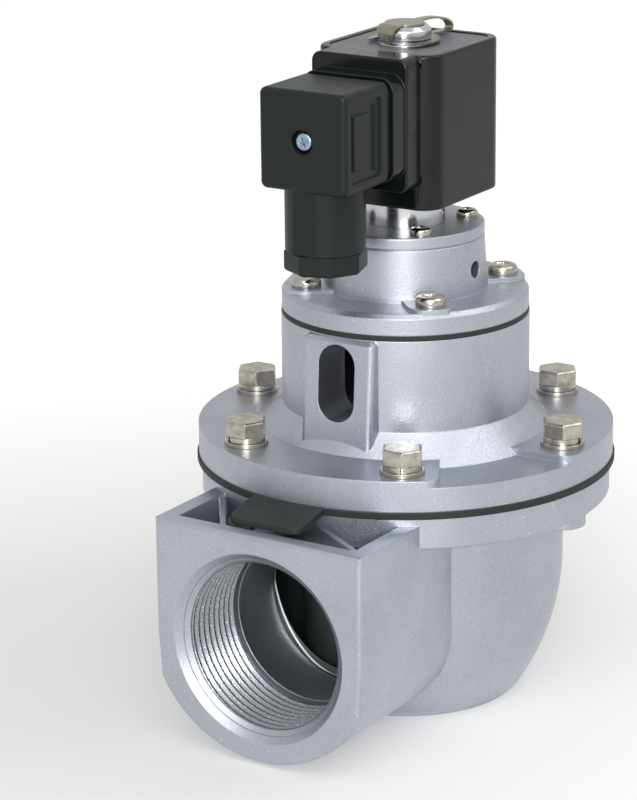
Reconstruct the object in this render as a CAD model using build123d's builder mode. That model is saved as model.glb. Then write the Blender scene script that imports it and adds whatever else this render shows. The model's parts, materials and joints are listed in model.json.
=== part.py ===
from build123d import *
import os
from math import asin, atan2, cos, degrees, radians, sin, sqrt

os.makedirs("parts", exist_ok=True)

# All sizes are in millimetres. The origin is the centre of the outlet's face, on which the valve stands.
# +Z runs up the valve's axis, and the inlet's mouth looks along -Y.

# Ports: both have the same parallel pipe thread, drawn plain at its outside radius
port_thread_r = 23.9
port_chamfer = 1.8
thread_length = 24.5
thread_runout = 1.5
port_wall = 4.0
inlet_reach = 74.0
relief_step = 1.9
boss_side = 5.6
boss_stand = 0.7
boss_top_drop = 2.2
boss_corner_r = 1.3
boss_rim = 4.6
pocket_depth = 14.0
pocket_draft = 8.0
pocket_rib = 1.4
pocket_rib_drop = 0.8
right_rib_start = 1.5
right_rib_across = 24.7
right_rib_along = 15.4
left_rib_across = 13.9
left_rib_along = 20.1
outlet_rim = 5.1
outlet_boss_height = 1.6
outlet_edge = 0.6

# Body casting
port_cover = 4.7
body_flange_thickness = 8.6
body_flange_edge = 0.5
bowl_wall = 4.0
bowl_straight_rise = 6.0
bowl_floor_height = 9.0
bowl_foot_step = 1.0
bolt_boss_r = 6.4
bolt_boss_depth = 3.0
seat_wall = 3.5
seat_step = 3.4
seat_stand = 1.2
seat_taper = 1.4
seat_land = 2.15

# Main bolts: hexagon head, spring washer and flat washer
bolt_count = 6
bolt_first_angle = -60.0
bolt_clear = 5.2
bolt_edge = 7.9
bolt_shank_r = 2.95
bolt_hole_r = 3.3
bolt_tapped_r = 3.05
bolt_reach = 8.0
bolt_hole_depth = 10.0
bolt_across_flats = 10.0
bolt_head_height = 4.2
bolt_head_chamfer = 0.5
spring_washer_r = 5.1
spring_washer_thickness = 1.5
spring_washer_split = 1.0
flat_washer_r = 5.8
flat_washer_thickness = 1.1

# Main diaphragm, and what is clamped at its centre
main_rubber = 1.8
rubber_stand = 0.5
diaphragm_roll = 14.5
diaphragm_edge = 2.3
diaphragm_shoulder = 1.5
main_rise = 3.4
seal_disc_lap = 1.6
seal_disc_chamfer = 0.8
plate_step = 1.6
plate_clear = 0.4
plate_edge = 0.5
backing_plate_thickness = 1.5
main_lift = 6.5
centre_bolt_r = 4.5
centre_bolt_tip = 0.8
centre_bolt_stand = 1.6
centre_bolt_head_r = 9.0
centre_bolt_head_height = 2.2
centre_bolt_head_chamfer = 1.2
centre_bolt_recess = 1.0
centre_nut_across_flats = 13.0
centre_nut_height = 3.6
bleed_hole_r = 0.8
tab_left = -12.5
tab_right = 9.2
tab_length = 11.6
tab_root = 7.4
tab_bend = 0.5
tab_droop = 2.05
tab_corner_r = 2.6

# Bonnet casting
bonnet_height = 38.8
bonnet_flange_thickness = 8.4
body_flange_inset = 0.8
recess_depth = 1.9
recess_clear = 9.4
recess_corner_r = 3.6
skirt_clear = 7.6
skirt_height = 7.6
neck_wall = 3.8
main_chamber_height = 13.1
main_chamber_step = 2.6
chamber_clear = 3.4
partition_thickness = 3.0
centre_tube_r = 13.2
centre_tube_wall = 3.2
small_seat_drop = 0.5
slot_block_half_width = 10.7
slot_block_stand = 3.0
slot_block_lean = 1.9
slot_block_corner_r = 1.5
slot_block_drop = 0.3
slot_block_ease = 0.9
slot_width = 11.0
slot_length = 20.7
slot_above_partition = 0.2

# Secondary diaphragm, and what is clamped at its centre
small_rubber = 1.4
small_rubber_stand = 0.1
small_rise = 1.8
small_plate_step = 1.2
small_seal_step = 0.8
small_seal_chamfer = 0.6
small_shoulder = 1.0
small_backing_thickness = 1.0
small_lift = 2.4
rivet_r = 2.4
rivet_head_r = 4.4
rivet_head_height = 1.1
rivet_edge_r = 0.6

# Pilot cover casting
cover_inset = 0.2
cover_edge_r = 1.2
cover_flange_thickness = 5.6
cover_pad_height = 1.0
cover_pad_r = 6.2
cover_screw_edge = 6.0
cover_screw_wall = 4.4
cover_chamber_step = 0.2
cover_chamber_height = 4.4
spring_chamber_step = 2.3
spring_chamber_height = 8.0
pilot_floor = 1.7
pilot_inset = 5.1
pilot_draft = 0.8
pilot_wall = 4.1
pilot_height = 19.7
nozzle_r = 4.6
nozzle_bore_r = 1.2
nozzle_height = 17.4
vent_r = 2.25
vent_height = 12.0
cover_screw_count = 4
cover_screw_r = 1.95
cover_screw_tapped_r = 2.05
cover_screw_hole_r = 2.2
cover_screw_head_r = 4.0
cover_screw_head_height = 2.6
cover_screw_reach = 7.0
screw_hole_spare = 1.0
screw_head_dome = 0.6

# Pilot cap
cap_thickness = 3.2
cap_edge_r = 0.4
joint_edge = 0.3
cap_ring_height = 1.4
cap_ring_clear = 0.6
cap_screw_count = 4
cap_screw_r = 1.45
cap_screw_tapped_r = 1.55
cap_screw_hole_r = 1.7
cap_screw_head_r = 2.9
cap_screw_head_height = 2.0
cap_screw_reach = 6.0
cap_screw_boss_r = 3.2

# Armature tube, fixed core and plunger
tube_r = 7.0
tube_wall = 1.02
tube_end_drop = 1.0
spigot_step = 1.2
collar_step = 2.5
collar_height = 6.5
collar_edge = 0.5
collar_seal_r = 0.6
seal_groove_clear = 0.4
groove_depth = 1.0
groove_height = 1.1
core_head_height = 3.4
core_head_chamfer = 1.2
plunger_travel = 2.0
plunger_length = 31.4
plunger_slot = 1.6
plunger_seal_r = 3.2
plunger_seal_thickness = 1.6
plunger_seal_stand = 0.5
plunger_pocket_r = 3.1
plunger_pocket_depth = 9.0

# Coil
coil_half_width = 18.2
coil_front = 16.8
coil_back = 21.0
coil_height = 40.6
coil_corner_r = 6.2
coil_rim_r = 0.8
coil_gap = 0.8
coil_skin = 1.0
yoke_inset = 2.3
yoke_thickness = 2.0
yoke_sink = 0.4
yoke_corner_r = 4.0
bobbin_wall = 1.2
bobbin_flange_r = 12.6
winding_depth = 0.6
first_frame_half_width = 14.4
first_frame_step = 6.2
first_frame_foot = 5.8
first_frame_corner_r = 2.6
first_frame_edge_r = 0.7
second_frame_inset = 0.7
second_frame_step = 5.4
frame_corner_r = 4.0
wave_washer_r = 9.2
wave_washer_thickness = 0.5

# Plug connector with its screw and cable gland
plug_inset = 0.8
plug_height = 26.1
plug_depth = 20.3
plug_drop = 4.5
plug_wall = 1.8
plug_corner_r = 1.8
plug_edge_r = 1.5
panel_depth = 0.7
panel_margin = 3.0
panel_corner_r = 1.0
panel_rib = 0.9
panel_rib_place = 4.8
panel_pad_width = 7.0
panel_pad_place = -2.2
gasket_thickness = 1.5
gasket_inset = 0.6
gasket_band = 1.5
gasket_drop = 1.0
gasket_corner_r = 2.0
insert_half_width = 8.6
insert_cheek = 1.0
insert_depth = 10.6
gland_r = 10.4
gland_length = 16.6
gland_spigot_step = 1.45
gland_bore_wall = 0.55
gland_setback = 10.8
gland_spigot_length = 3.0
gland_nut_step = 0.4
gland_nut_height = 5.4
gland_nut_wall = 1.6
gland_nut_edge = 0.7
gland_nut_turn = 39.0
gland_washer_thickness = 0.7
grommet_length = 6.0
grommet_bore_r = 4.6
cable_hole_clear = 0.6
plug_screw_r = 1.45
plug_screw_tapped_r = 1.55
plug_screw_head_r = 2.5
plug_screw_head_height = 1.9
plug_screw_dome = 0.4
plug_screw_recess_r = 3.15
plug_screw_recess_depth = 2.6
plug_screw_reach = 4.0
blade_width = 6.3
blade_thickness = 0.8
blade_length = 9.0
blade_pitch = 7.2
blade_socket_gap = 0.6

# Clip: a bent steel strip that holds the coil on the tube
clip_angle = 80.0
clip_thickness = 0.5
clip_loop_width = 2.6
clip_leaf_lap = 2.4
clip_loop_reach = 11.0
clip_loop_bend_r = 1.0
clip_loop_crest = 8.5
clip_tongue_inset = 1.8
clip_grip = 0.15
strap_clear = 0.2
strap_bend_r = 2.0
strap_top_width = 6.4
strap_foot_width = 3.7

# Wire springs
main_spring_wire_r = 0.6
main_spring_foot_inset = 4.0
main_spring_head_inset = 0.2
main_spring_turns = 3
small_spring_wire_r = 0.45
small_spring_foot_inset = 3.2
small_spring_head_r = 6.5
small_spring_turns = 3
plunger_spring_wire_r = 0.3
plunger_spring_inset = 0.7
plunger_spring_turns = 6

# Fits
slide_clear = 0.08
face_gap = 0.2
drawn_gap = 0.1

# Radii that follow from the sizes above, out from the ports to the flanges, then in to the coil
port_mouth_r = port_thread_r + port_chamfer
port_boss_r = port_thread_r + port_wall
inlet_relief_r = port_thread_r - relief_step
boss_half_width = port_mouth_r + boss_side
outlet_boss_r = port_mouth_r + outlet_rim
seat_bore_r = port_thread_r - seat_step
seal_disc_r = seat_bore_r + seat_wall + seal_disc_lap
backing_plate_r = seal_disc_r - plate_step
main_plate_r = seal_disc_r + plate_clear
diaphragm_clear_r = main_plate_r + diaphragm_roll
bowl_r = diaphragm_clear_r + diaphragm_edge
cavity_r = bowl_r - bowl_wall
bolt_circle_r = bowl_r + bolt_clear
bonnet_flange_r = bolt_circle_r + bolt_edge
flange_r = bonnet_flange_r - body_flange_inset
main_edge_r = bonnet_flange_r + rubber_stand
tab_reach = main_edge_r + tab_length
skirt_foot_r = bolt_circle_r - skirt_clear
main_chamber_top_r = main_plate_r + chamber_clear
bonnet_neck_r = main_chamber_top_r + neck_wall
slot_block_reach = bonnet_neck_r + slot_block_stand
cover_r = bonnet_neck_r - cover_inset
small_edge_r = cover_r + small_rubber_stand
cover_screw_circle_r = cover_r - cover_screw_edge
exhaust_chamber_r = cover_screw_circle_r - cover_screw_wall
cover_chamber_r = exhaust_chamber_r - cover_chamber_step
pilot_foot_r = cover_screw_circle_r - pilot_inset
pilot_top_r = pilot_foot_r - pilot_draft
pilot_cavity_r = pilot_top_r - pilot_wall
cap_screw_circle_r = pilot_cavity_r
cap_ring_r = pilot_cavity_r - cap_screw_boss_r - cap_ring_clear
centre_tube_bore_r = centre_tube_r - centre_tube_wall
small_plate_r = centre_tube_r + small_plate_step
small_seal_r = centre_tube_r + small_seal_step
small_backing_r = centre_tube_r
spring_chamber_r = centre_tube_r + spring_chamber_step
main_spring_foot_r = backing_plate_r - main_spring_foot_inset
main_spring_head_r = centre_tube_r - main_spring_head_inset
small_spring_foot_r = small_backing_r - small_spring_foot_inset
tube_bore_r = tube_r - tube_wall
groove_r = tube_r - groove_depth
collar_spigot_r = tube_r + spigot_step
collar_r = collar_spigot_r + collar_step
coil_bore_r = tube_r + slide_clear
plunger_r = tube_bore_r - slide_clear
plunger_spring_r = plunger_pocket_r - plunger_spring_inset
winding_r = bobbin_flange_r - winding_depth
clip_leaf_r = tube_r + clip_leaf_lap
clip_reach = tube_r + clip_loop_reach
clip_tongue_r = tube_r - clip_tongue_inset

# Heights that follow, from the standing face up
inlet_height = boss_half_width + boss_stand
body_height = inlet_height + port_boss_r + port_cover
bowl_straight_height = inlet_height + bowl_straight_rise
boss_top = body_height - boss_top_drop
flange_foot = body_height - body_flange_thickness
pocket_floor = boss_top - pocket_depth
bonnet_foot = body_height + main_rubber
bonnet_deck = bonnet_foot + bonnet_flange_thickness
bonnet_recess = bonnet_deck - recess_depth
bonnet_top = bonnet_foot + bonnet_height
partition_foot = bonnet_foot + main_chamber_height
partition_top = partition_foot + partition_thickness
slot_middle = partition_top + slot_above_partition + slot_length / 2
cover_foot = bonnet_top + small_rubber
cover_deck = cover_foot + cover_flange_thickness
cover_pad_top = cover_deck + cover_pad_height
spring_ceiling = cover_foot + spring_chamber_height
cavity_floor = spring_ceiling + pilot_floor
pilot_top = cover_foot + pilot_height
nozzle_top = cover_foot + nozzle_height
cap_top = pilot_top + cap_thickness
collar_top = cap_top + collar_height
coil_foot = collar_top + coil_gap
coil_top = coil_foot + coil_height
tube_end = coil_top - tube_end_drop
head_foot = coil_top + groove_height
core_top = head_foot + core_head_height
main_seat = body_height + seat_stand
seal_disc_foot = main_seat + face_gap
main_dish = body_height + main_rise
backing_foot = main_dish + main_rubber
backing_top = backing_foot + backing_plate_thickness
small_seat = bonnet_top - small_seat_drop
small_seal_foot = small_seat + face_gap
small_dish = bonnet_top + small_rise
small_backing_foot = small_dish + small_rubber
small_backing_top = small_backing_foot + small_backing_thickness
plunger_seal_foot = nozzle_top + face_gap
plunger_foot = plunger_seal_foot + plunger_seal_stand
plunger_top = plunger_foot + plunger_length
core_foot = plunger_top + plunger_travel + face_gap

# Places along Y, out from the coil's front, and the plug's half sizes
second_frame_half_width = first_frame_half_width - second_frame_inset
plug_half_width = second_frame_half_width - plug_inset
plug_half_height = plug_height / 2
gasket_half_width = plug_half_width - gasket_inset
gasket_window = gasket_half_width - gasket_band
gland_spigot_r = gland_r - gland_spigot_step
gland_bore_r = gland_spigot_r - gland_bore_wall
gland_nut_across_flats = 2 * (gland_r - gland_nut_step)
cable_hole_r = grommet_bore_r + cable_hole_clear
first_frame_y = -coil_front - first_frame_step
second_frame_y = first_frame_y - second_frame_step
plug_back_y = second_frame_y - gasket_thickness
plug_front_y = plug_back_y - plug_depth
plug_middle = coil_top - plug_drop - plug_half_height
gland_y = plug_front_y + gland_setback
gland_foot = plug_middle - plug_half_height - gland_length
nut_foot = gland_foot - gland_nut_height
nut_seat = nut_foot + gland_nut_wall
spigot_foot = gland_foot - gland_spigot_length

# Planes and places that several features share
inlet_face = Plane(origin=(0, -inlet_reach, inlet_height), x_dir=(1, 0, 0), z_dir=(0, 1, 0))
pocket_front = inlet_reach - boss_rim
pocket_side = boss_half_width - boss_rim

# Body: inlet boss with its top pocket, bowl, bolt flange, and the seat tube in the middle
with BuildPart() as valve_body:
    with BuildSketch(Plane.XZ.offset(inlet_reach)):
        with BuildLine():
            Line((boss_half_width, boss_top), (boss_half_width, inlet_height))
            ThreePointArc(
                (boss_half_width, inlet_height),
                (0, inlet_height - boss_half_width),
                (-boss_half_width, inlet_height),
            )
            Line((-boss_half_width, inlet_height), (-boss_half_width, boss_top))
            Line((-boss_half_width, boss_top), (boss_half_width, boss_top))
        make_face()
    extrude(amount=-inlet_reach)
    fillet(valve_body.faces().sort_by(Axis.Y)[0].edges(), boss_corner_r)
    with BuildSketch(Plane.XY.offset(boss_top)):
        with Locations((0, -pocket_front / 2)):
            Rectangle(2 * pocket_side, pocket_front)
    extrude(amount=-pocket_depth, taper=pocket_draft, mode=Mode.SUBTRACT)
    # The outside of the port's round wall shows in the pocket, with two thin ribs beside it
    with BuildSketch(inlet_face.offset(boss_rim / 2)):
        Circle(port_boss_r)
    extrude(amount=pocket_front)
    right_rib = (
        (pocket_side, -pocket_front + right_rib_start),
        (pocket_side - right_rib_across, -pocket_front + right_rib_start + right_rib_along),
    )
    left_rib = (
        (-pocket_side + left_rib_across, -pocket_front),
        (-pocket_side, -pocket_front + left_rib_along),
    )
    for rib_start, rib_end in (right_rib, left_rib):
        with BuildSketch(Plane.XY.offset(pocket_floor)):
            with BuildLine():
                Line(rib_start, rib_end)
            trace(line_width=pocket_rib)
        extrude(amount=pocket_depth - pocket_rib_drop)
    # Bowl, bolt flange and outlet boss are turned about the valve's axis
    with BuildSketch(Plane.XZ):
        with BuildLine():
            outside = Polyline(
                (bowl_r, bowl_straight_height),
                (bowl_r, flange_foot),
                (flange_r - body_flange_edge, flange_foot),
                (flange_r, flange_foot + body_flange_edge),
                (flange_r, body_height),
                (0, body_height),
                (0, 0),
                (outlet_boss_r - outlet_edge, 0),
                (outlet_boss_r, outlet_edge),
                (outlet_boss_r, outlet_boss_height),
                (outlet_boss_r + bowl_foot_step, outlet_boss_height),
            )
            TangentArc(outside @ 0, outside @ 1, tangent=(0, -1))
        make_face()
    revolve(axis=Axis.Z)
    with BuildSketch(Plane.XY.offset(flange_foot - bolt_boss_depth)):
        with PolarLocations(bolt_circle_r, bolt_count, start_angle=bolt_first_angle):
            Circle(bolt_boss_r)
    extrude(amount=bolt_boss_depth + body_flange_thickness / 2)
    # The chamber round the seat tube
    with BuildSketch(Plane.XZ):
        with BuildLine():
            inside = Polyline(
                (cavity_r, bowl_straight_height),
                (cavity_r, body_height - bowl_wall),
                (diaphragm_clear_r, body_height),
                (0, body_height),
                (0, bowl_floor_height),
                (port_boss_r + 2 * bowl_foot_step, bowl_floor_height),
            )
            TangentArc(inside @ 0, inside @ 1, tangent=(0, -1))
        make_face()
    revolve(axis=Axis.Z, mode=Mode.SUBTRACT)
    with BuildSketch(Plane.XZ):
        with BuildLine():
            Polyline(
                (0, outlet_boss_height),
                (port_boss_r, outlet_boss_height),
                (port_boss_r, thread_length + thread_runout),
                (seat_bore_r + seat_wall, thread_length + thread_runout + port_wall),
                (seat_bore_r + seat_wall, main_seat - seat_taper),
                (seat_bore_r + seat_land, main_seat),
                (0, main_seat),
                close=True,
            )
        make_face()
    revolve(axis=Axis.Z)
    # Outlet bore: its thread starts at the face, and it narrows to the seat tube
    with BuildSketch(Plane.XZ):
        with BuildLine():
            Polyline(
                (0, 0),
                (port_thread_r, 0),
                (port_thread_r, thread_length),
                (seat_bore_r, thread_length + seat_step / 2),
                (seat_bore_r, main_seat),
                (0, main_seat),
                close=True,
            )
        make_face()
    revolve(axis=Axis.Z, mode=Mode.SUBTRACT)
    # Inlet bore: mouth chamfer, thread and plain relief into the chamber
    with BuildSketch(inlet_face):
        Circle(port_mouth_r)
    extrude(amount=port_chamfer, taper=45, mode=Mode.SUBTRACT)
    with BuildSketch(inlet_face):
        Circle(port_thread_r)
    extrude(amount=thread_length, mode=Mode.SUBTRACT)
    with BuildSketch(inlet_face.offset(thread_length)):
        Circle(inlet_relief_r)
    extrude(
        amount=inlet_reach - thread_length - sqrt(cavity_r**2 - inlet_relief_r**2) + drawn_gap,
        mode=Mode.SUBTRACT,
    )
    with BuildSketch(Plane.XY.offset(body_height)):
        with PolarLocations(bolt_circle_r, bolt_count, start_angle=bolt_first_angle):
            Circle(bolt_tapped_r)
    extrude(amount=-bolt_hole_depth, mode=Mode.SUBTRACT)

# Main diaphragm: clamped flat between body and bonnet, dished to its centre, with a tab over the inlet boss
with BuildPart() as main_diaphragm:
    with BuildSketch(Plane.XZ):
        with BuildLine():
            Polyline(
                (centre_bolt_r + drawn_gap, main_dish),
                (main_plate_r, main_dish),
                (diaphragm_clear_r - diaphragm_shoulder, body_height),
                (main_edge_r, body_height),
                (main_edge_r, bonnet_foot),
                (diaphragm_clear_r - diaphragm_shoulder, bonnet_foot),
                (main_plate_r, backing_foot),
                (centre_bolt_r + drawn_gap, backing_foot),
                close=True,
            )
        make_face()
    revolve(axis=Axis.Z)
    # The tab hangs down a little from the flange's edge to the boss
    with BuildSketch(Plane.YZ.offset(tab_left)):
        with BuildLine():
            Polyline(
                (-main_edge_r + tab_root, body_height),
                (-main_edge_r - tab_bend, body_height),
                (-tab_reach, body_height - tab_droop),
                (-tab_reach, bonnet_foot - tab_droop),
                (-main_edge_r - tab_bend, bonnet_foot),
                (-main_edge_r + tab_root, bonnet_foot),
                close=True,
            )
        make_face()
    extrude(amount=tab_right - tab_left)
    fillet(main_diaphragm.edges().filter_by(Axis.Z).group_by(Axis.Y)[0], tab_corner_r)
    with BuildSketch(Plane.XY.offset(body_height)):
        with PolarLocations(bolt_circle_r, bolt_count, start_angle=bolt_first_angle):
            Circle(bolt_hole_r)
        with Locations((0, (main_plate_r + diaphragm_clear_r) / 2)):
            Circle(bleed_hole_r)
    extrude(amount=main_rise + main_rubber, mode=Mode.SUBTRACT)

# Seal disc that closes on the main seat, with a recess for the bolt's head
centre_bolt_seat = seal_disc_foot + centre_bolt_head_height / 2
with BuildPart() as main_seal_disc:
    with BuildSketch(Plane.XZ):
        with BuildLine():
            Polyline(
                (centre_bolt_r + drawn_gap, centre_bolt_seat),
                (centre_bolt_head_r + centre_bolt_recess, centre_bolt_seat),
                (centre_bolt_head_r + 2 * centre_bolt_recess, seal_disc_foot),
                (seal_disc_r - seal_disc_chamfer, seal_disc_foot),
                (seal_disc_r, seal_disc_foot + seal_disc_chamfer),
                (seal_disc_r, main_dish),
                (centre_bolt_r + drawn_gap, main_dish),
                close=True,
            )
        make_face()
    revolve(axis=Axis.Z)

with BuildPart() as main_backing_plate:
    with BuildSketch(Plane.XY.offset(backing_foot)):
        Circle(backing_plate_r)
        Circle(centre_bolt_r + drawn_gap, mode=Mode.SUBTRACT)
    extrude(amount=backing_plate_thickness)
    chamfer(main_backing_plate.edges().group_by(Axis.Z)[-1].sort_by(SortBy.LENGTH)[-1], plate_edge)

centre_bolt_end = backing_top + centre_nut_height + centre_bolt_stand
with BuildPart() as main_centre_bolt:
    with BuildSketch(Plane.XZ):
        with BuildLine():
            Polyline(
                (0, centre_bolt_seat - centre_bolt_head_height),
                (centre_bolt_head_r - centre_bolt_head_chamfer, centre_bolt_seat - centre_bolt_head_height),
                (centre_bolt_head_r, centre_bolt_seat - centre_bolt_head_height + centre_bolt_head_chamfer),
                (centre_bolt_head_r, centre_bolt_seat),
                (centre_bolt_r, centre_bolt_seat),
                (centre_bolt_r, centre_bolt_end - centre_bolt_tip),
                (centre_bolt_r - centre_bolt_tip, centre_bolt_end),
                (0, centre_bolt_end),
                close=True,
            )
        make_face()
    revolve(axis=Axis.Z)

with BuildPart() as main_centre_nut:
    with BuildSketch(Plane.XY.offset(backing_top)):
        RegularPolygon(centre_nut_across_flats / 2, 6, major_radius=False)
        Circle(centre_bolt_r + drawn_gap, mode=Mode.SUBTRACT)
    extrude(amount=centre_nut_height)

# Bonnet: bolt flange with two lowered sectors, skirt, neck and the flat-faced exhaust slot block
with BuildPart() as bonnet:
    with BuildSketch(Plane.XY.offset(bonnet_foot)):
        Circle(bonnet_flange_r)
    extrude(amount=bonnet_flange_thickness)
    # Each lowered sector lies between two bolts, and the pads beside it have rounded corners
    step = 360 / bolt_count
    apex_r = recess_clear / sin(radians(step / 2))
    corner_turn = degrees(asin(recess_clear / bonnet_flange_r))
    pad_corners = []
    with BuildSketch(Plane.XY.offset(bonnet_deck)):
        for sector in (bolt_first_angle, bolt_first_angle + 180):
            apex = Vector(apex_r, 0).rotate(Axis.Z, sector + step / 2)
            near_end = apex + Vector(2 * bonnet_flange_r, 0).rotate(Axis.Z, sector)
            far_end = apex + Vector(2 * bonnet_flange_r, 0).rotate(Axis.Z, sector + step)
            with BuildLine():
                Polyline(apex, near_end, far_end, close=True)
            make_face()
            for turn in (corner_turn, step - corner_turn):
                pad_corners.append(Vector(bonnet_flange_r, 0, bonnet_deck).rotate(Axis.Z, sector + turn))
    extrude(amount=-recess_depth, mode=Mode.SUBTRACT)
    pad_edges = bonnet.edges().filter_by(Axis.Z)
    fillet([pad_edges.sort_by_distance(corner)[0] for corner in pad_corners], recess_corner_r)
    with BuildSketch(Plane.XZ):
        with BuildLine():
            Polyline(
                (0, bonnet_foot),
                (skirt_foot_r, bonnet_foot),
                (skirt_foot_r, bonnet_recess),
                (bonnet_neck_r, bonnet_recess + skirt_height),
                (bonnet_neck_r, bonnet_top),
                (0, bonnet_top),
                close=True,
            )
        make_face()
    revolve(axis=Axis.Z)
    # The slot block stands in front of the neck, with rounded corners, a leaning front and an eased top
    block_top = bonnet_top - slot_block_drop
    brow_reach = slot_block_reach - slot_block_lean
    block_sections = (
        (bonnet_recess, slot_block_reach, slot_block_half_width),
        (block_top - slot_block_ease, brow_reach, slot_block_half_width),
        (block_top, brow_reach - slot_block_ease, slot_block_half_width - slot_block_ease),
    )
    for height, reach, half_width in block_sections:
        with BuildSketch(Plane.XY.offset(height)) as block_section:
            with Locations((0, -reach / 2)):
                Rectangle(2 * half_width, reach)
            fillet(block_section.vertices().group_by(Axis.Y)[0], slot_block_corner_r)
    loft(ruled=True)
    # Chamber over the main diaphragm, and the exhaust chamber round the centre tube
    with BuildSketch(Plane.XZ):
        with BuildLine():
            Polyline(
                (0, bonnet_foot),
                (diaphragm_clear_r, bonnet_foot),
                (diaphragm_clear_r, bonnet_foot + main_chamber_step),
                (main_chamber_top_r, partition_foot),
                (0, partition_foot),
                close=True,
            )
        make_face()
    revolve(axis=Axis.Z, mode=Mode.SUBTRACT)
    with BuildSketch(Plane.XY.offset(partition_top)):
        Circle(exhaust_chamber_r)
        Circle(centre_tube_r, mode=Mode.SUBTRACT)
    extrude(amount=bonnet_top - partition_top, mode=Mode.SUBTRACT)
    with BuildSketch(Plane.XY.offset(partition_foot)):
        Circle(centre_tube_bore_r)
    extrude(amount=bonnet_top - partition_foot, mode=Mode.SUBTRACT)
    with BuildSketch(Plane.XY.offset(small_seat)):
        Circle(exhaust_chamber_r)
    extrude(amount=small_seat_drop, mode=Mode.SUBTRACT)
    with BuildSketch(Plane.XZ.offset(slot_block_reach)):
        with Locations((0, slot_middle)):
            SlotOverall(slot_length, slot_width, rotation=90)
    extrude(amount=-(slot_block_reach - (centre_tube_r + exhaust_chamber_r) / 2), mode=Mode.SUBTRACT)
    with BuildSketch(Plane.XY.offset(bonnet_foot)):
        with PolarLocations(bolt_circle_r, bolt_count, start_angle=bolt_first_angle):
            Circle(bolt_hole_r)
    extrude(amount=bonnet_flange_thickness, mode=Mode.SUBTRACT)
    with BuildSketch(Plane.XY.offset(bonnet_top)):
        with PolarLocations(cover_screw_circle_r, cover_screw_count, start_angle=45):
            Circle(cover_screw_tapped_r)
    extrude(amount=-cover_screw_reach - screw_hole_spare, mode=Mode.SUBTRACT)

with BuildPart() as bonnet_flat_washers:
    with BuildSketch(Plane.XY.offset(bonnet_deck)):
        with PolarLocations(bolt_circle_r, bolt_count, start_angle=bolt_first_angle):
            Circle(flat_washer_r)
        with PolarLocations(bolt_circle_r, bolt_count, start_angle=bolt_first_angle):
            Circle(bolt_shank_r + drawn_gap, mode=Mode.SUBTRACT)
    extrude(amount=flat_washer_thickness)

spring_washer_foot = bonnet_deck + flat_washer_thickness
with BuildPart() as bonnet_spring_washers:
    with BuildSketch(Plane.XY.offset(spring_washer_foot)):
        with PolarLocations(bolt_circle_r, bolt_count, start_angle=bolt_first_angle):
            Circle(spring_washer_r)
        with PolarLocations(bolt_circle_r, bolt_count, start_angle=bolt_first_angle):
            Circle(bolt_shank_r + drawn_gap, mode=Mode.SUBTRACT)
        with PolarLocations(bolt_circle_r + spring_washer_r, bolt_count, start_angle=bolt_first_angle):
            Rectangle(2 * spring_washer_r, spring_washer_split, mode=Mode.SUBTRACT)
    extrude(amount=spring_washer_thickness)

bolt_head_foot = spring_washer_foot + spring_washer_thickness
with BuildPart() as bonnet_bolts:
    with BuildSketch(Plane.XY.offset(bolt_head_foot)):
        with PolarLocations(bolt_circle_r, bolt_count, start_angle=bolt_first_angle):
            RegularPolygon(bolt_across_flats / 2, 6, major_radius=False)
    extrude(amount=bolt_head_height)
    chamfer(bonnet_bolts.edges().group_by(Axis.Z)[-1], bolt_head_chamfer)
    with BuildSketch(Plane.XY.offset(body_height - bolt_reach)):
        with PolarLocations(bolt_circle_r, bolt_count, start_angle=bolt_first_angle):
            Circle(bolt_shank_r)
    extrude(amount=bolt_head_foot - body_height + bolt_reach)

# Secondary diaphragm, smaller, between bonnet and pilot cover
with BuildPart() as small_diaphragm:
    with BuildSketch(Plane.XZ):
        with BuildLine():
            Polyline(
                (rivet_r + drawn_gap, small_dish),
                (small_plate_r, small_dish),
                (cover_chamber_r - small_shoulder, bonnet_top),
                (small_edge_r, bonnet_top),
                (small_edge_r, cover_foot),
                (cover_chamber_r - small_shoulder, cover_foot),
                (small_plate_r, small_backing_foot),
                (rivet_r + drawn_gap, small_backing_foot),
                close=True,
            )
        make_face()
    revolve(axis=Axis.Z)
    with BuildSketch(Plane.XY.offset(bonnet_top)):
        with PolarLocations(cover_screw_circle_r, cover_screw_count, start_angle=45):
            Circle(cover_screw_hole_r)
    extrude(amount=small_rubber, mode=Mode.SUBTRACT)

with BuildPart() as small_seal_disc:
    with BuildSketch(Plane.XY.offset(small_seal_foot)):
        Circle(small_seal_r)
        Circle(rivet_r + drawn_gap, mode=Mode.SUBTRACT)
    extrude(amount=small_dish - small_seal_foot)
    chamfer(small_seal_disc.edges().group_by(Axis.Z)[0].sort_by(SortBy.LENGTH)[-1], small_seal_chamfer)

with BuildPart() as small_backing_plate:
    with BuildSketch(Plane.XY.offset(small_backing_foot)):
        Circle(small_backing_r)
        Circle(rivet_r + drawn_gap, mode=Mode.SUBTRACT)
    extrude(amount=small_backing_thickness)

with BuildPart() as small_rivet:
    with BuildSketch(Plane.XY.offset(small_seal_foot - rivet_head_height)):
        Circle(rivet_head_r)
    extrude(amount=rivet_head_height)
    with BuildSketch(Plane.XY.offset(small_seal_foot)):
        Circle(rivet_r)
    extrude(amount=small_backing_top - small_seal_foot)
    with BuildSketch(Plane.XY.offset(small_backing_top)):
        Circle(rivet_head_r)
    extrude(amount=rivet_head_height)
    fillet(small_rivet.edges().group_by(Axis.Z)[-1], rivet_edge_r)

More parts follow.
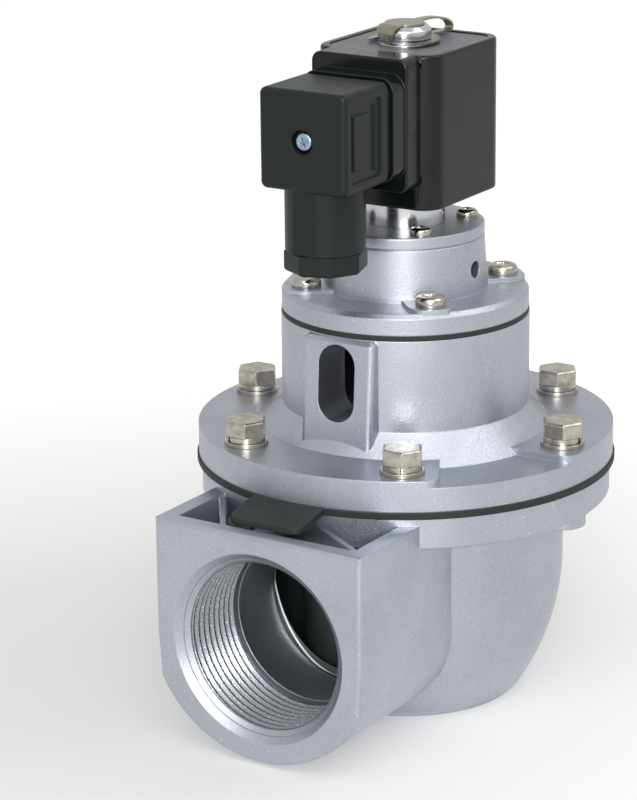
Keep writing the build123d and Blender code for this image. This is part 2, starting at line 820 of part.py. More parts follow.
# Pilot cover: screw flange, pilot cylinder, nozzle and vent
with BuildPart() as pilot_cover:
    with BuildSketch(Plane.XZ):
        with BuildLine():
            Polyline(
                (0, cover_foot),
                (cover_r, cover_foot),
                (cover_r, cover_deck - cover_edge_r),
                (cover_r - cover_edge_r, cover_deck),
                (pilot_foot_r, cover_deck),
                (pilot_foot_r, cover_deck + cover_pad_height),
                (pilot_top_r, pilot_top - joint_edge),
                (pilot_top_r - joint_edge, pilot_top),
                (0, pilot_top),
                close=True,
            )
        make_face()
    revolve(axis=Axis.Z)
    with BuildSketch(Plane.XY.offset(cover_deck - cover_edge_r)):
        with PolarLocations(cover_screw_circle_r, cover_screw_count, start_angle=45):
            Circle(cover_pad_r)
        with PolarLocations(cover_screw_circle_r / 2, cover_screw_count, start_angle=45):
            Rectangle(cover_screw_circle_r, 2 * cover_pad_r)
        Circle(cover_r - cover_edge_r / 2, mode=Mode.INTERSECT)
    extrude(amount=cover_pad_height + cover_edge_r)
    # Chambers inside, from below
    with BuildSketch(Plane.XY.offset(cover_foot)):
        Circle(cover_chamber_r)
    extrude(amount=cover_chamber_height, mode=Mode.SUBTRACT)
    with BuildSketch(Plane.XY.offset(cover_foot)):
        Circle(spring_chamber_r)
    extrude(amount=spring_chamber_height, mode=Mode.SUBTRACT)
    # Pilot cavity from above, round the nozzle and the four screw bosses
    with BuildSketch(Plane.XY.offset(cavity_floor)):
        Circle(pilot_cavity_r)
        Circle(nozzle_r, mode=Mode.SUBTRACT)
        with PolarLocations(cap_screw_circle_r, cap_screw_count, start_angle=45):
            Circle(cap_screw_boss_r, mode=Mode.SUBTRACT)
    extrude(amount=pilot_top - cavity_floor, mode=Mode.SUBTRACT)
    with BuildSketch(Plane.XY.offset(nozzle_top)):
        Circle(nozzle_r)
    extrude(amount=pilot_top - nozzle_top, mode=Mode.SUBTRACT)
    with BuildSketch(Plane.XY.offset(spring_ceiling)):
        Circle(nozzle_bore_r)
    extrude(amount=nozzle_top - spring_ceiling, mode=Mode.SUBTRACT)
    with BuildSketch(Plane.YZ.offset(pilot_foot_r)):
        with Locations((0, cover_foot + vent_height)):
            Circle(vent_r)
    extrude(amount=-pilot_wall - 2 * pilot_draft, mode=Mode.SUBTRACT)
    with BuildSketch(Plane.XY.offset(cover_foot)):
        with PolarLocations(cover_screw_circle_r, cover_screw_count, start_angle=45):
            Circle(cover_screw_hole_r)
    extrude(amount=cover_pad_top - cover_foot, mode=Mode.SUBTRACT)
    with BuildSketch(Plane.XY.offset(pilot_top)):
        with PolarLocations(cap_screw_circle_r, cap_screw_count, start_angle=45):
            Circle(cap_screw_tapped_r)
    extrude(amount=-cap_screw_reach - screw_hole_spare, mode=Mode.SUBTRACT)

with BuildPart() as pilot_cover_screws:
    with BuildSketch(Plane.XY.offset(cover_pad_top)):
        with PolarLocations(cover_screw_circle_r, cover_screw_count, start_angle=45):
            Circle(cover_screw_head_r)
    extrude(amount=cover_screw_head_height)
    fillet(pilot_cover_screws.edges().group_by(Axis.Z)[-1], cover_screw_head_height * screw_head_dome)
    with BuildSketch(Plane.XY.offset(bonnet_top - cover_screw_reach)):
        with PolarLocations(cover_screw_circle_r, cover_screw_count, start_angle=45):
            Circle(cover_screw_r)
    extrude(amount=cover_pad_top - bonnet_top + cover_screw_reach)

# Pilot cap, with a groove for the seal under the tube's collar
with BuildPart() as pilot_cap:
    with BuildSketch(Plane.XY.offset(pilot_top)):
        Circle(pilot_top_r)
    extrude(amount=cap_thickness)
    fillet(pilot_cap.edges().group_by(Axis.Z)[-1], cap_edge_r)
    chamfer(pilot_cap.edges().group_by(Axis.Z)[0], joint_edge)
    with BuildSketch(Plane.XY.offset(pilot_top - cap_ring_height)):
        Circle(cap_ring_r)
    extrude(amount=cap_ring_height)
    with BuildSketch(Plane.XY.offset(pilot_top - cap_ring_height)):
        Circle(collar_spigot_r + drawn_gap)
    extrude(amount=cap_thickness + cap_ring_height, mode=Mode.SUBTRACT)
    with BuildSketch(Plane.XY.offset(cap_top - 2 * collar_seal_r)):
        Circle(collar_spigot_r + seal_groove_clear + 2 * collar_seal_r)
    extrude(amount=2 * collar_seal_r, mode=Mode.SUBTRACT)
    with BuildSketch(Plane.XY.offset(pilot_top)):
        with PolarLocations(cap_screw_circle_r, cap_screw_count, start_angle=45):
            Circle(cap_screw_hole_r)
    extrude(amount=cap_thickness, mode=Mode.SUBTRACT)

with BuildPart() as pilot_cap_screws:
    with BuildSketch(Plane.XY.offset(cap_top)):
        with PolarLocations(cap_screw_circle_r, cap_screw_count, start_angle=45):
            Circle(cap_screw_head_r)
    extrude(amount=cap_screw_head_height)
    fillet(pilot_cap_screws.edges().group_by(Axis.Z)[-1], cap_screw_head_height * screw_head_dome)
    with BuildSketch(Plane.XY.offset(pilot_top - cap_screw_reach)):
        with PolarLocations(cap_screw_circle_r, cap_screw_count, start_angle=45):
            Circle(cap_screw_r)
    extrude(amount=cap_thickness + cap_screw_reach)

with BuildPart() as collar_seal:
    with BuildSketch(Plane.XZ):
        with Locations((collar_spigot_r + seal_groove_clear / 2 + collar_seal_r, cap_top - collar_seal_r)):
            RegularPolygon(collar_seal_r - drawn_gap / 2, 10)
    revolve(axis=Axis.Z)

# Armature tube: a round collar on the cap and a thin tube up through the coil
with BuildPart() as armature_tube:
    with BuildSketch(Plane.XZ):
        with BuildLine():
            Polyline(
                (tube_bore_r, pilot_top - cap_ring_height),
                (collar_spigot_r, pilot_top - cap_ring_height),
                (collar_spigot_r, cap_top),
                (collar_r, cap_top),
                (collar_r, collar_top - collar_edge),
                (collar_r - collar_edge, collar_top),
                (tube_r, collar_top),
                (tube_r, tube_end),
                (tube_bore_r, tube_end),
                close=True,
            )
        make_face()
    revolve(axis=Axis.Z)

# Fixed core: closes the tube, and its grooved head takes the clip
with BuildPart() as fixed_core:
    with BuildSketch(Plane.XZ):
        with BuildLine():
            Polyline(
                (0, core_foot),
                (tube_bore_r - drawn_gap / 2, core_foot),
                (tube_bore_r - drawn_gap / 2, tube_end),
                (tube_r, tube_end),
                (tube_r, coil_top),
                (groove_r, coil_top),
                (groove_r, head_foot),
                (tube_r, head_foot),
                (tube_r, core_top - core_head_chamfer),
                (tube_r - core_head_chamfer, core_top),
                (0, core_top),
                close=True,
            )
        make_face()
    revolve(axis=Axis.Z)

# Plunger: slotted for air, with a pocket for its spring and one for its seal
with BuildPart() as plunger:
    with BuildSketch(Plane.XY.offset(plunger_foot)):
        Circle(plunger_r)
        for side in (-1, 1):
            with Locations((side * plunger_r, 0)):
                Rectangle(plunger_slot, plunger_slot, mode=Mode.SUBTRACT)
    extrude(amount=plunger_length)
    with BuildSketch(Plane.XY.offset(plunger_top)):
        Circle(plunger_pocket_r)
    extrude(amount=-plunger_pocket_depth, mode=Mode.SUBTRACT)
    with BuildSketch(Plane.XY.offset(plunger_foot)):
        Circle(plunger_seal_r)
    extrude(amount=plunger_seal_thickness - plunger_seal_stand, mode=Mode.SUBTRACT)

with BuildPart() as plunger_seal:
    with BuildSketch(Plane.XY.offset(plunger_seal_foot)):
        Circle(plunger_seal_r - drawn_gap / 2)
    extrude(amount=plunger_seal_thickness)

# Springs, each one swept wire between two flat faces
def spring_line(foot, head, foot_r, head_r, wire_r, turns):
    rise = head - foot - 2 * (wire_r + drawn_gap)
    return Helix(
        pitch=rise / turns,
        height=rise,
        radius=foot_r,
        center=(0, 0, foot + wire_r + drawn_gap),
        cone_angle=-degrees(atan2(foot_r - head_r, rise)),
    )


with BuildPart() as main_spring:
    with BuildLine():
        wire = spring_line(
            backing_top, partition_foot, main_spring_foot_r, main_spring_head_r, main_spring_wire_r,
            main_spring_turns,
        )
    with BuildSketch(Plane(origin=wire @ 0, z_dir=wire % 0)):
        RegularPolygon(main_spring_wire_r, 6)
    sweep(is_frenet=True)

with BuildPart() as small_spring:
    with BuildLine():
        wire = spring_line(
            small_backing_top, spring_ceiling, small_spring_foot_r, small_spring_head_r, small_spring_wire_r,
            small_spring_turns,
        )
    with BuildSketch(Plane(origin=wire @ 0, z_dir=wire % 0)):
        RegularPolygon(small_spring_wire_r, 6)
    sweep(is_frenet=True)

plunger_spring_foot = plunger_top - plunger_pocket_depth
with BuildPart() as plunger_spring:
    with BuildLine():
        wire = spring_line(
            plunger_spring_foot, core_foot, plunger_spring_r, plunger_spring_r, plunger_spring_wire_r,
            plunger_spring_turns,
        )
    with BuildSketch(Plane(origin=wire @ 0, z_dir=wire % 0)):
        RegularPolygon(plunger_spring_wire_r, 6)
    sweep(is_frenet=True)

# Coil housing: rounded moulding with two stepped frames for the plug
yoke_back = coil_back - yoke_inset
yoke_front = coil_front - yoke_inset
yoke_half_width = coil_half_width - yoke_inset
yoke_plate_top = coil_top - yoke_sink
yoke_foot = coil_foot + coil_skin
winding_foot = yoke_foot + yoke_thickness
winding_head = yoke_plate_top - yoke_thickness
with BuildPart() as coil_housing:
    with BuildSketch(Plane.XY.offset(coil_foot)) as coil_plan:
        with Locations((0, (coil_back - coil_front) / 2)):
            RectangleRounded(2 * coil_half_width, coil_back + coil_front, coil_corner_r)
    extrude(amount=coil_height)
    fillet(coil_housing.edges().group_by(Axis.Z)[-1], coil_rim_r)
    fillet(coil_housing.edges().group_by(Axis.Z)[0], coil_rim_r)
    first_frame_bottom = coil_foot + first_frame_foot
    with BuildSketch(Plane.XZ):
        with Locations((0, (coil_top + first_frame_bottom) / 2)):
            RectangleRounded(
                2 * first_frame_half_width, coil_top - first_frame_bottom, first_frame_corner_r
            )
    extrude(amount=-first_frame_y)
    fillet(coil_housing.faces().sort_by(Axis.Y)[0].edges(), first_frame_edge_r)
    with BuildSketch(Plane.XZ.offset(-first_frame_y)):
        with Locations((0, plug_middle)):
            RectangleRounded(2 * second_frame_half_width, 2 * second_frame_half_width, frame_corner_r)
    extrude(amount=second_frame_step)
    # Room for the yoke and the winding, and the bore for the tube
    for foot, height in ((yoke_foot, yoke_thickness), (yoke_plate_top - yoke_thickness, coil_height)):
        with BuildSketch(Plane.XY.offset(foot)):
            with Locations((0, (yoke_back - yoke_front) / 2)):
                RectangleRounded(2 * yoke_half_width, yoke_back + yoke_front, yoke_corner_r)
        extrude(amount=height, mode=Mode.SUBTRACT)
    with BuildSketch(Plane.XY.offset(yoke_foot)):
        with Locations((0, yoke_back - yoke_thickness / 2)):
            Rectangle(2 * (yoke_half_width - yoke_corner_r), yoke_thickness)
        Circle(bobbin_flange_r + drawn_gap)
    extrude(amount=yoke_plate_top - yoke_foot, mode=Mode.SUBTRACT)
    with BuildSketch(Plane.XY.offset(coil_foot)):
        Circle(coil_bore_r)
    extrude(amount=coil_height, mode=Mode.SUBTRACT)
    with BuildSketch(Plane.XZ.offset(-second_frame_y)):
        with Locations((0, plug_middle)):
            Circle(plug_screw_tapped_r)
    extrude(amount=-plug_screw_reach - screw_hole_spare, mode=Mode.SUBTRACT)

# Yoke: one steel strip bent to a C, whose top plate shows in the housing
with BuildPart() as coil_yoke:
    for foot in (yoke_foot, yoke_plate_top - yoke_thickness):
        with BuildSketch(Plane.XY.offset(foot)):
            with Locations((0, (yoke_back - yoke_front) / 2)):
                RectangleRounded(2 * yoke_half_width, yoke_back + yoke_front, yoke_corner_r)
        extrude(amount=yoke_thickness)
    with BuildSketch(Plane.XY.offset(yoke_foot)):
        with Locations((0, yoke_back - yoke_thickness / 2)):
            Rectangle(2 * (yoke_half_width - yoke_corner_r), yoke_thickness)
    extrude(amount=yoke_plate_top - yoke_foot)
    with BuildSketch(Plane.XY.offset(yoke_foot)):
        Circle(coil_bore_r)
    extrude(amount=yoke_plate_top - yoke_foot, mode=Mode.SUBTRACT)

with BuildPart() as coil_bobbin:
    with BuildSketch(Plane.XY.offset(winding_foot)):
        Circle(coil_bore_r + bobbin_wall)
    extrude(amount=winding_head - winding_foot)
    for foot in (winding_foot, winding_head - bobbin_wall):
        with BuildSketch(Plane.XY.offset(foot)):
            Circle(bobbin_flange_r)
        extrude(amount=bobbin_wall)
    with BuildSketch(Plane.XY.offset(winding_foot)):
        Circle(coil_bore_r)
    extrude(amount=winding_head - winding_foot, mode=Mode.SUBTRACT)

with BuildPart() as coil_winding:
    with BuildSketch(Plane.XY.offset(winding_foot + bobbin_wall)):
        Circle(winding_r)
        Circle(coil_bore_r + bobbin_wall + drawn_gap / 2, mode=Mode.SUBTRACT)
    extrude(amount=winding_head - winding_foot - 2 * bobbin_wall)

with BuildPart() as coil_washer:
    with BuildSketch(Plane.XY.offset(collar_top)):
        Circle(wave_washer_r)
        Circle(tube_r + drawn_gap, mode=Mode.SUBTRACT)
    extrude(amount=wave_washer_thickness)

# Terminal blades: two beside the screw, and the earth blade under it
blade_places = ((-blade_pitch, 0, 90), (blade_pitch, 0, 90), (0, -blade_pitch, 0))
with BuildPart() as terminal_blades:
    for across, up, turn in blade_places:
        with BuildSketch(Plane.XZ.offset(-second_frame_y)):
            with Locations((across, plug_middle + up)):
                Rectangle(blade_width, blade_thickness, rotation=turn)
        extrude(amount=blade_length)

gasket_height = plug_height - 2 * gasket_drop
with BuildPart() as connector_gasket:
    with BuildSketch(Plane.XZ.offset(-second_frame_y)):
        with Locations((0, plug_middle)):
            RectangleRounded(2 * gasket_half_width, gasket_height, gasket_corner_r)
            Rectangle(2 * gasket_window, gasket_height - 2 * gasket_band, mode=Mode.SUBTRACT)
    extrude(amount=gasket_thickness)

# Plug: rounded box, open at its back, with the gland tube below
with BuildPart() as connector_housing:
    with BuildSketch(Plane.XZ.offset(-plug_back_y)):
        with Locations((0, plug_middle)):
            RectangleRounded(2 * plug_half_width, plug_height, plug_corner_r)
    extrude(amount=plug_depth)
    fillet(connector_housing.faces().sort_by(Axis.Y)[0].edges(), plug_edge_r)
    with BuildSketch(Plane.XY.offset(gland_foot)):
        with Locations((0, gland_y)):
            Circle(gland_r)
        with Locations((0, second_frame_y - face_gap - gland_r)):
            Rectangle(2 * gland_r, 2 * gland_r, mode=Mode.INTERSECT)
    extrude(amount=gland_length + gasket_drop / 2)
    with BuildSketch(Plane.XY.offset(spigot_foot)):
        with Locations((0, gland_y)):
            Circle(gland_spigot_r)
    extrude(amount=gland_spigot_length)
    with BuildSketch(Plane.XZ.offset(-plug_back_y)):
        with Locations((0, plug_middle)):
            Rectangle(2 * (plug_half_width - plug_wall), plug_height - 2 * plug_wall)
    extrude(amount=plug_depth - plug_screw_recess_depth - plug_wall, mode=Mode.SUBTRACT)
    with BuildSketch(Plane.XY.offset(spigot_foot)):
        with Locations((0, gland_y)):
            Circle(gland_bore_r)
    extrude(amount=gland_spigot_length + gland_length + 2 * plug_wall, mode=Mode.SUBTRACT)
    with BuildSketch(Plane.XZ.offset(-plug_front_y)):
        with Locations((0, plug_middle)):
            Circle(plug_screw_recess_r)
    extrude(amount=-plug_screw_recess_depth, mode=Mode.SUBTRACT)
    with BuildSketch(Plane.XZ.offset(-plug_front_y)):
        with Locations((0, plug_middle)):
            Circle(plug_screw_tapped_r)
    extrude(amount=-plug_depth / 2, mode=Mode.SUBTRACT)
    # Sunken panels on both sides, each with a raised pad and an upright rib
    panel_length = plug_depth - 2 * panel_margin
    for side in (-1, 1):
        with BuildSketch(Plane.YZ.offset(side * plug_half_width)):
            with Locations(((plug_front_y + plug_back_y) / 2, plug_middle)):
                RectangleRounded(panel_length, plug_height - 2 * panel_margin, panel_corner_r)
            with Locations(((plug_front_y + plug_back_y) / 2 + panel_pad_place, plug_middle)):
                Rectangle(panel_pad_width, plug_height - 4 * panel_margin, mode=Mode.SUBTRACT)
            with Locations(((plug_front_y + plug_back_y) / 2 + panel_rib_place, plug_middle)):
                Rectangle(panel_rib, plug_height - 3 * panel_margin, mode=Mode.SUBTRACT)
        extrude(amount=-side * panel_depth, mode=Mode.SUBTRACT)

# Insert: carries the sockets for the blades
insert_flange_half = plug_half_width - plug_wall - drawn_gap
insert_flange_height = plug_height - 2 * plug_wall - 2 * drawn_gap
with BuildPart() as connector_insert:
    with BuildSketch(Plane.XZ.offset(-plug_back_y)):
        with Locations((0, plug_middle)):
            Rectangle(2 * insert_flange_half, insert_flange_height)
    extrude(amount=plug_wall)
    with BuildSketch(Plane.XZ.offset(-plug_back_y)):
        with Locations((0, plug_middle)):
            Rectangle(2 * (insert_half_width + insert_cheek), 2 * insert_half_width)
    extrude(amount=insert_depth)
    for across, up, turn in blade_places:
        with BuildSketch(Plane.XZ.offset(-plug_back_y)):
            with Locations((across, plug_middle + up)):
                Rectangle(blade_width + blade_socket_gap, blade_thickness + blade_socket_gap, rotation=turn)
        extrude(amount=blade_length, mode=Mode.SUBTRACT)
    with BuildSketch(Plane.XZ.offset(-plug_back_y)):
        with Locations((0, plug_middle)):
            Circle(plug_screw_r + 2 * drawn_gap)
    extrude(amount=insert_depth, mode=Mode.SUBTRACT)

screw_seat_y = plug_front_y + plug_screw_recess_depth
with BuildPart() as connector_screw:
    with BuildSketch(Plane.XZ.offset(-screw_seat_y)):
        with Locations((0, plug_middle)):
            Circle(plug_screw_head_r)
    extrude(amount=plug_screw_head_height)
    fillet(connector_screw.edges().group_by(Axis.Y)[0], plug_screw_head_height * plug_screw_dome)
    with BuildSketch(Plane.XZ.offset(-second_frame_y - plug_screw_reach)):
        with Locations((0, plug_middle)):
            Circle(plug_screw_r)
    extrude(amount=second_frame_y + plug_screw_reach - screw_seat_y)

# Gland nut, washer and rubber grommet, with no cable through them
with BuildPart() as gland_nut:
    with BuildSketch(Plane.XY.offset(nut_foot)):
        with Locations((0, gland_y)):
            RegularPolygon(gland_nut_across_flats / 2, 8, major_radius=False, rotation=gland_nut_turn)
    extrude(amount=gland_nut_height)
    chamfer(gland_nut.edges().group_by(Axis.Z)[0], gland_nut_edge)
    with BuildSketch(Plane.XY.offset(nut_seat)):
        with Locations((0, gland_y)):
            Circle(gland_spigot_r + drawn_gap)
    extrude(amount=gland_nut_height, mode=Mode.SUBTRACT)
    with BuildSketch(Plane.XY.offset(nut_foot)):
        with Locations((0, gland_y)):
            Circle(cable_hole_r)
    extrude(amount=gland_nut_wall, mode=Mode.SUBTRACT)

with BuildPart() as gland_washer:
    with BuildSketch(Plane.XY.offset(nut_seat)):
        with Locations((0, gland_y)):
            Circle(gland_spigot_r)
            Circle(cable_hole_r + drawn_gap, mode=Mode.SUBTRACT)
    extrude(amount=gland_washer_thickness)

with BuildPart() as gland_grommet:
    with BuildSketch(Plane.XY.offset(nut_seat + gland_washer_thickness)):
        with Locations((0, gland_y)):
            Circle(gland_bore_r - drawn_gap)
            Circle(grommet_bore_r, mode=Mode.SUBTRACT)
    extrude(amount=grommet_length)

# Clip: a forked leaf in the core's groove, a loop, a round tongue over the core's head, and a strap bent down
clip_way = (cos(radians(clip_angle)), sin(radians(clip_angle)), 0)
clip_side = Plane(origin=(0, 0, 0), x_dir=clip_way, z_dir=(clip_way[1], -clip_way[0], 0))
clip_end = Plane(origin=(0, 0, 0), x_dir=(-clip_way[1], clip_way[0], 0), z_dir=clip_way)
leaf_middle = coil_top + groove_height / 2
tongue_middle = core_top + drawn_gap + clip_thickness / 2
loop_low = leaf_middle + clip_loop_bend_r
strap_out = tube_r + strap_clear + clip_thickness / 2
clip_plan = Plane(origin=(0, 0, leaf_middle - clip_thickness / 2), x_dir=clip_way, z_dir=(0, 0, 1))
with BuildPart() as coil_clip:
    with BuildSketch(clip_side):
        with BuildLine():
            Line((0, tongue_middle), (-strap_out + strap_bend_r, tongue_middle))
            TangentArc(
                (-strap_out + strap_bend_r, tongue_middle),
                (-strap_out, tongue_middle - strap_bend_r),
                tangent=(-1, 0),
            )
            Line((-strap_out, tongue_middle - strap_bend_r), (-strap_out, coil_top + clip_thickness))
        trace(line_width=clip_thickness)
    extrude(amount=strap_top_width / 2, both=True)
    # The strap narrows towards its foot
    with BuildSketch(clip_end):
        with BuildLine():
            Polyline(
                (-strap_top_width / 2, tongue_middle + clip_thickness),
                (-strap_top_width / 2, tongue_middle - clip_thickness),
                (-strap_foot_width / 2, coil_top),
                (strap_foot_width / 2, coil_top),
                (strap_top_width / 2, tongue_middle - clip_thickness),
                (strap_top_width / 2, tongue_middle + clip_thickness),
                close=True,
            )
        make_face()
    extrude(amount=-2 * strap_out, mode=Mode.INTERSECT)
    with BuildSketch(clip_side):
        with BuildLine():
            Line((0, tongue_middle), (clip_loop_crest, tongue_middle))
            EllipticalCenterArc(
                (clip_loop_crest, loop_low),
                x_radius=clip_reach - clip_loop_crest,
                y_radius=tongue_middle - loop_low,
                start_angle=0,
                arc_size=90,
            )
            TangentArc(
                (clip_reach, loop_low),
                (clip_reach - clip_loop_bend_r, leaf_middle),
                tangent=(0, -1),
            )
            Line((clip_reach - clip_loop_bend_r, leaf_middle), (tube_r, leaf_middle))
        trace(line_width=clip_thickness)
    extrude(amount=clip_loop_width / 2, both=True)
    with BuildSketch(clip_plan):
        Circle(clip_leaf_r)
        Circle(groove_r + clip_grip, mode=Mode.SUBTRACT)
        with Locations((-clip_leaf_r / 2, 0)):
            Rectangle(clip_leaf_r, 2 * (groove_r + clip_grip), mode=Mode.SUBTRACT)
    extrude(amount=clip_thickness)
    with BuildSketch(clip_plan.offset(tongue_middle - leaf_middle)):
        Circle(clip_tongue_r)
    extrude(amount=clip_thickness)

pieces = {
    "valve_body": valve_body,
    "main_diaphragm": main_diaphragm,
    "main_seal_disc": main_seal_disc,
    "main_backing_plate": main_backing_plate,
    "main_centre_bolt": main_centre_bolt,
    "main_centre_nut": main_centre_nut,
    "main_spring": main_spring,
    "bonnet": bonnet,
    "bonnet_flat_washers": bonnet_flat_washers,
    "bonnet_spring_washers": bonnet_spring_washers,
    "bonnet_bolts": bonnet_bolts,
    "small_diaphragm": small_diaphragm,
    "small_seal_disc": small_seal_disc,
    "small_backing_plate": small_backing_plate,
    "small_rivet": small_rivet,
    "small_spring": small_spring,
    "pilot_cover": pilot_cover,
    "pilot_cover_screws": pilot_cover_screws,
    "pilot_cap": pilot_cap,
    "pilot_cap_screws": pilot_cap_screws,
    "collar_seal": collar_seal,
    "armature_tube": armature_tube,
    "fixed_core": fixed_core,
    "plunger": plunger,
    "plunger_seal": plunger_seal,
    "plunger_spring": plunger_spring,
    "coil_washer": coil_washer,
    "coil_housing": coil_housing,
    "coil_yoke": coil_yoke,
    "coil_bobbin": coil_bobbin,
    "coil_winding": coil_winding,
    "terminal_blades": terminal_blades,
    "connector_gasket": connector_gasket,
    "connector_housing": connector_housing,
    "connector_insert": connector_insert,
    "connector_screw": connector_screw,
    "gland_nut": gland_nut,
    "gland_washer": gland_washer,
    "gland_grommet": gland_grommet,
    "coil_clip": coil_clip,
}
for name, piece in pieces.items():
    piece.part.label = name
    export_step(piece.part, f"parts/{name}.step")
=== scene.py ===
import json
from math import atan2, cos, pi, radians, sin

import bpy
from mathutils import Matrix, Vector


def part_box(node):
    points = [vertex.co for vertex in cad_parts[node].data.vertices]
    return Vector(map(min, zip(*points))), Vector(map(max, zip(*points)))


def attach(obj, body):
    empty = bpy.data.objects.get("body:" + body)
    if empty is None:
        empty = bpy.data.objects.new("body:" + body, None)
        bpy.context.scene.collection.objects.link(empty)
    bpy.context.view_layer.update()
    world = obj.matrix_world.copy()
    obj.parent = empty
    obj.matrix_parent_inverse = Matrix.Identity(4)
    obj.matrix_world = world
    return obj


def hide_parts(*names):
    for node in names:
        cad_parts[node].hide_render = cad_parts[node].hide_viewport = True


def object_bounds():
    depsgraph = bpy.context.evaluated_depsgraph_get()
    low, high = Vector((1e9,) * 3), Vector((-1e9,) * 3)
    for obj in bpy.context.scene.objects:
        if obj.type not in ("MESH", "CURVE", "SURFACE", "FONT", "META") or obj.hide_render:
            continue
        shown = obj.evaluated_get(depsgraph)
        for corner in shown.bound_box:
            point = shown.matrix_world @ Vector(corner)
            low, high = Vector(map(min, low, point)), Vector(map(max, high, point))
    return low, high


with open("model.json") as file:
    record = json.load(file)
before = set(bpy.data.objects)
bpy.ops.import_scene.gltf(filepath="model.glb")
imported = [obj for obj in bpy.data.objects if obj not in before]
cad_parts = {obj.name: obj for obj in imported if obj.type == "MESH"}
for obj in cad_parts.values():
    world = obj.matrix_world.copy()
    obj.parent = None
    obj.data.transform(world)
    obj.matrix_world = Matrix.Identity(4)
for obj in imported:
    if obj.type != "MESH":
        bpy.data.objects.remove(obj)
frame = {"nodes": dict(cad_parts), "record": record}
cad_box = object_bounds()
bpy.ops.object.select_all(action="DESELECT")
MM = 0.001

# Places of the ports, as the body has them
INLET_HEIGHT = 32.0 * MM
INLET_REACH = 74.0 * MM
THREAD_R = 23.9 * MM
THREAD_DEPTH = 24.5 * MM
MOUTH_DEPTH = 1.8 * MM
THREAD_PITCH = 2.309 * MM
THREAD_RIDGE = 1.35 * MM
LEAD_IN_R = 22.5 * MM
LEAD_IN_DEPTH = 3.2 * MM
RELIEF_R = 22.0 * MM
# Width of the painted highlight along the relief bore's inner edge
HIGHLIGHT_RING_WIDTH = 0.25 * MM
INLET_SIDE = -20.0 * MM
# The chamber round the seat tube: its wall is straight above, and bends in towards its floor
CHAMBER_FLOOR = 8.0 * MM
CHAMBER_STRAIGHT = 38.0 * MM
CHAMBER_TOP = 63.0 * MM
CHAMBER_R = 38.8 * MM
CHAMBER_BEND_R = 58.5 * MM
HALF_WALL = 1.2 * MM
# The inlet boss: flat sides that lean in to a corner, and a wide arc below
BOSS_R = 31.3 * MM
BOSS_FILLET_R = 1.3 * MM
BOSS_CORNER = radians(23.4)
BOSS_LEAN = 2.24 * MM
BOSS_ARC_RISE = 3.4 * MM
BOSS_ROOT = -26.0 * MM
BOSS_ROOT_FADE = 8.0 * MM
BOSS_SKIN = 0.1 * MM
# The softened edge of the castings, in millimetres
CAST_EDGE = 0.45
COVER_SCREW_HEAD_R = 4.0 * MM
CAP_SCREW_HEAD_R = 2.9 * MM
SCREW_TURN = radians(20)
RECESS_TAPER = 0.6
CUTTER_ABOVE = 0.5 * MM
# How far a new piece's foot is sunk in the wall that carries it
SUNK = 0.05 * MM
# The ports' threads: where each starts, and the ridge's section and run-out in pitches
OUTLET_THREAD_START = 0.6 * MM
INLET_THREAD_START = LEAD_IN_DEPTH - 1.2 * MM
RIDGE_HALF = 0.47
RIDGE_LAND = 0.08
RUN_OUT = 0.5
TURNS_LEFT_OUT = 0.75
STEPS_A_TURN = 72
CONE_STEPS = 96
CONE_BACK = 0.4 * MM
# Points closer than this are one, and faces flatter than this are one
MERGE = 0.002 * MM
FLAT = radians(0.5)
# Edges sharper than these stay sharp in shading, or are rounded
SMOOTH_RING = radians(25)
SMOOTH_BODY = radians(20)
SMOOTH_SCREW = radians(35)
NODE_EDGE = radians(28)
SCREW_EDGE = radians(32)


# Colours and nodes


def linear(colour):
    """An sRGB hex colour as linear RGBA."""
    parts = [int(colour[i : i + 2], 16) / 255 for i in (1, 3, 5)]
    return [c / 12.92 if c <= 0.04045 else ((c + 0.055) / 1.055) ** 2.4 for c in parts] + [1.0]


def add(tree, kind, inputs=(), **settings):
    """Adds a node. inputs maps a socket's name or number to its value, or to the socket that feeds it."""
    node = tree.nodes.new(kind)
    for key, value in settings.items():
        setattr(node, key, value)
    for key, value in dict(inputs).items():
        if isinstance(value, bpy.types.NodeSocket):
            tree.links.new(value, node.inputs[key])
        else:
            node.inputs[key].default_value = value
    return node


def new_material(name, roughness, metallic=0.0, **sockets):
    """A material with one Principled shader, and its tree and shader to work on."""
    material = bpy.data.materials.new(name)
    material.use_nodes = True
    tree = material.node_tree
    shader = tree.nodes["Principled BSDF"]
    shader.inputs["Roughness"].default_value = roughness
    shader.inputs["Metallic"].default_value = metallic
    for key, value in sockets.items():
        shader.inputs[key.replace("_", " ")].default_value = value
    return material, tree, shader


def speckle(tree, size_mm, detail=2.0, roughness=0.5, place=None):
    """Noise on Object coordinates whose grains are about size_mm across."""
    if place is None:
        place = add(tree, "ShaderNodeTexCoord").outputs["Object"]
    settings = {"Vector": place, "Scale": 1 / (size_mm * MM), "Detail": detail, "Roughness": roughness}
    return add(tree, "ShaderNodeTexNoise", settings).outputs["Fac"]


def remap(tree, value, low, high, to_low, to_high):
    """value from low..high to to_low..to_high, held at both ends."""
    settings = {"Value": value, "From Min": low, "From Max": high, "To Min": to_low, "To Max": to_high}
    return add(tree, "ShaderNodeMapRange", settings).outputs["Result"]


def blend_numbers(tree, share, first, second):
    """Two numbers or sockets, mixed by share."""
    return add(tree, "ShaderNodeMix", {0: share, 2: first, 3: second}, data_type="FLOAT").outputs[0]


def blend_colours(tree, share, first, second):
    """Two colours, hex values or sockets, mixed by share."""
    ends = [linear(c) if isinstance(c, str) else c for c in (first, second)]
    node = add(tree, "ShaderNodeMix", {0: share, 6: ends[0], 7: ends[1]}, data_type="RGBA")
    return node.outputs[2]


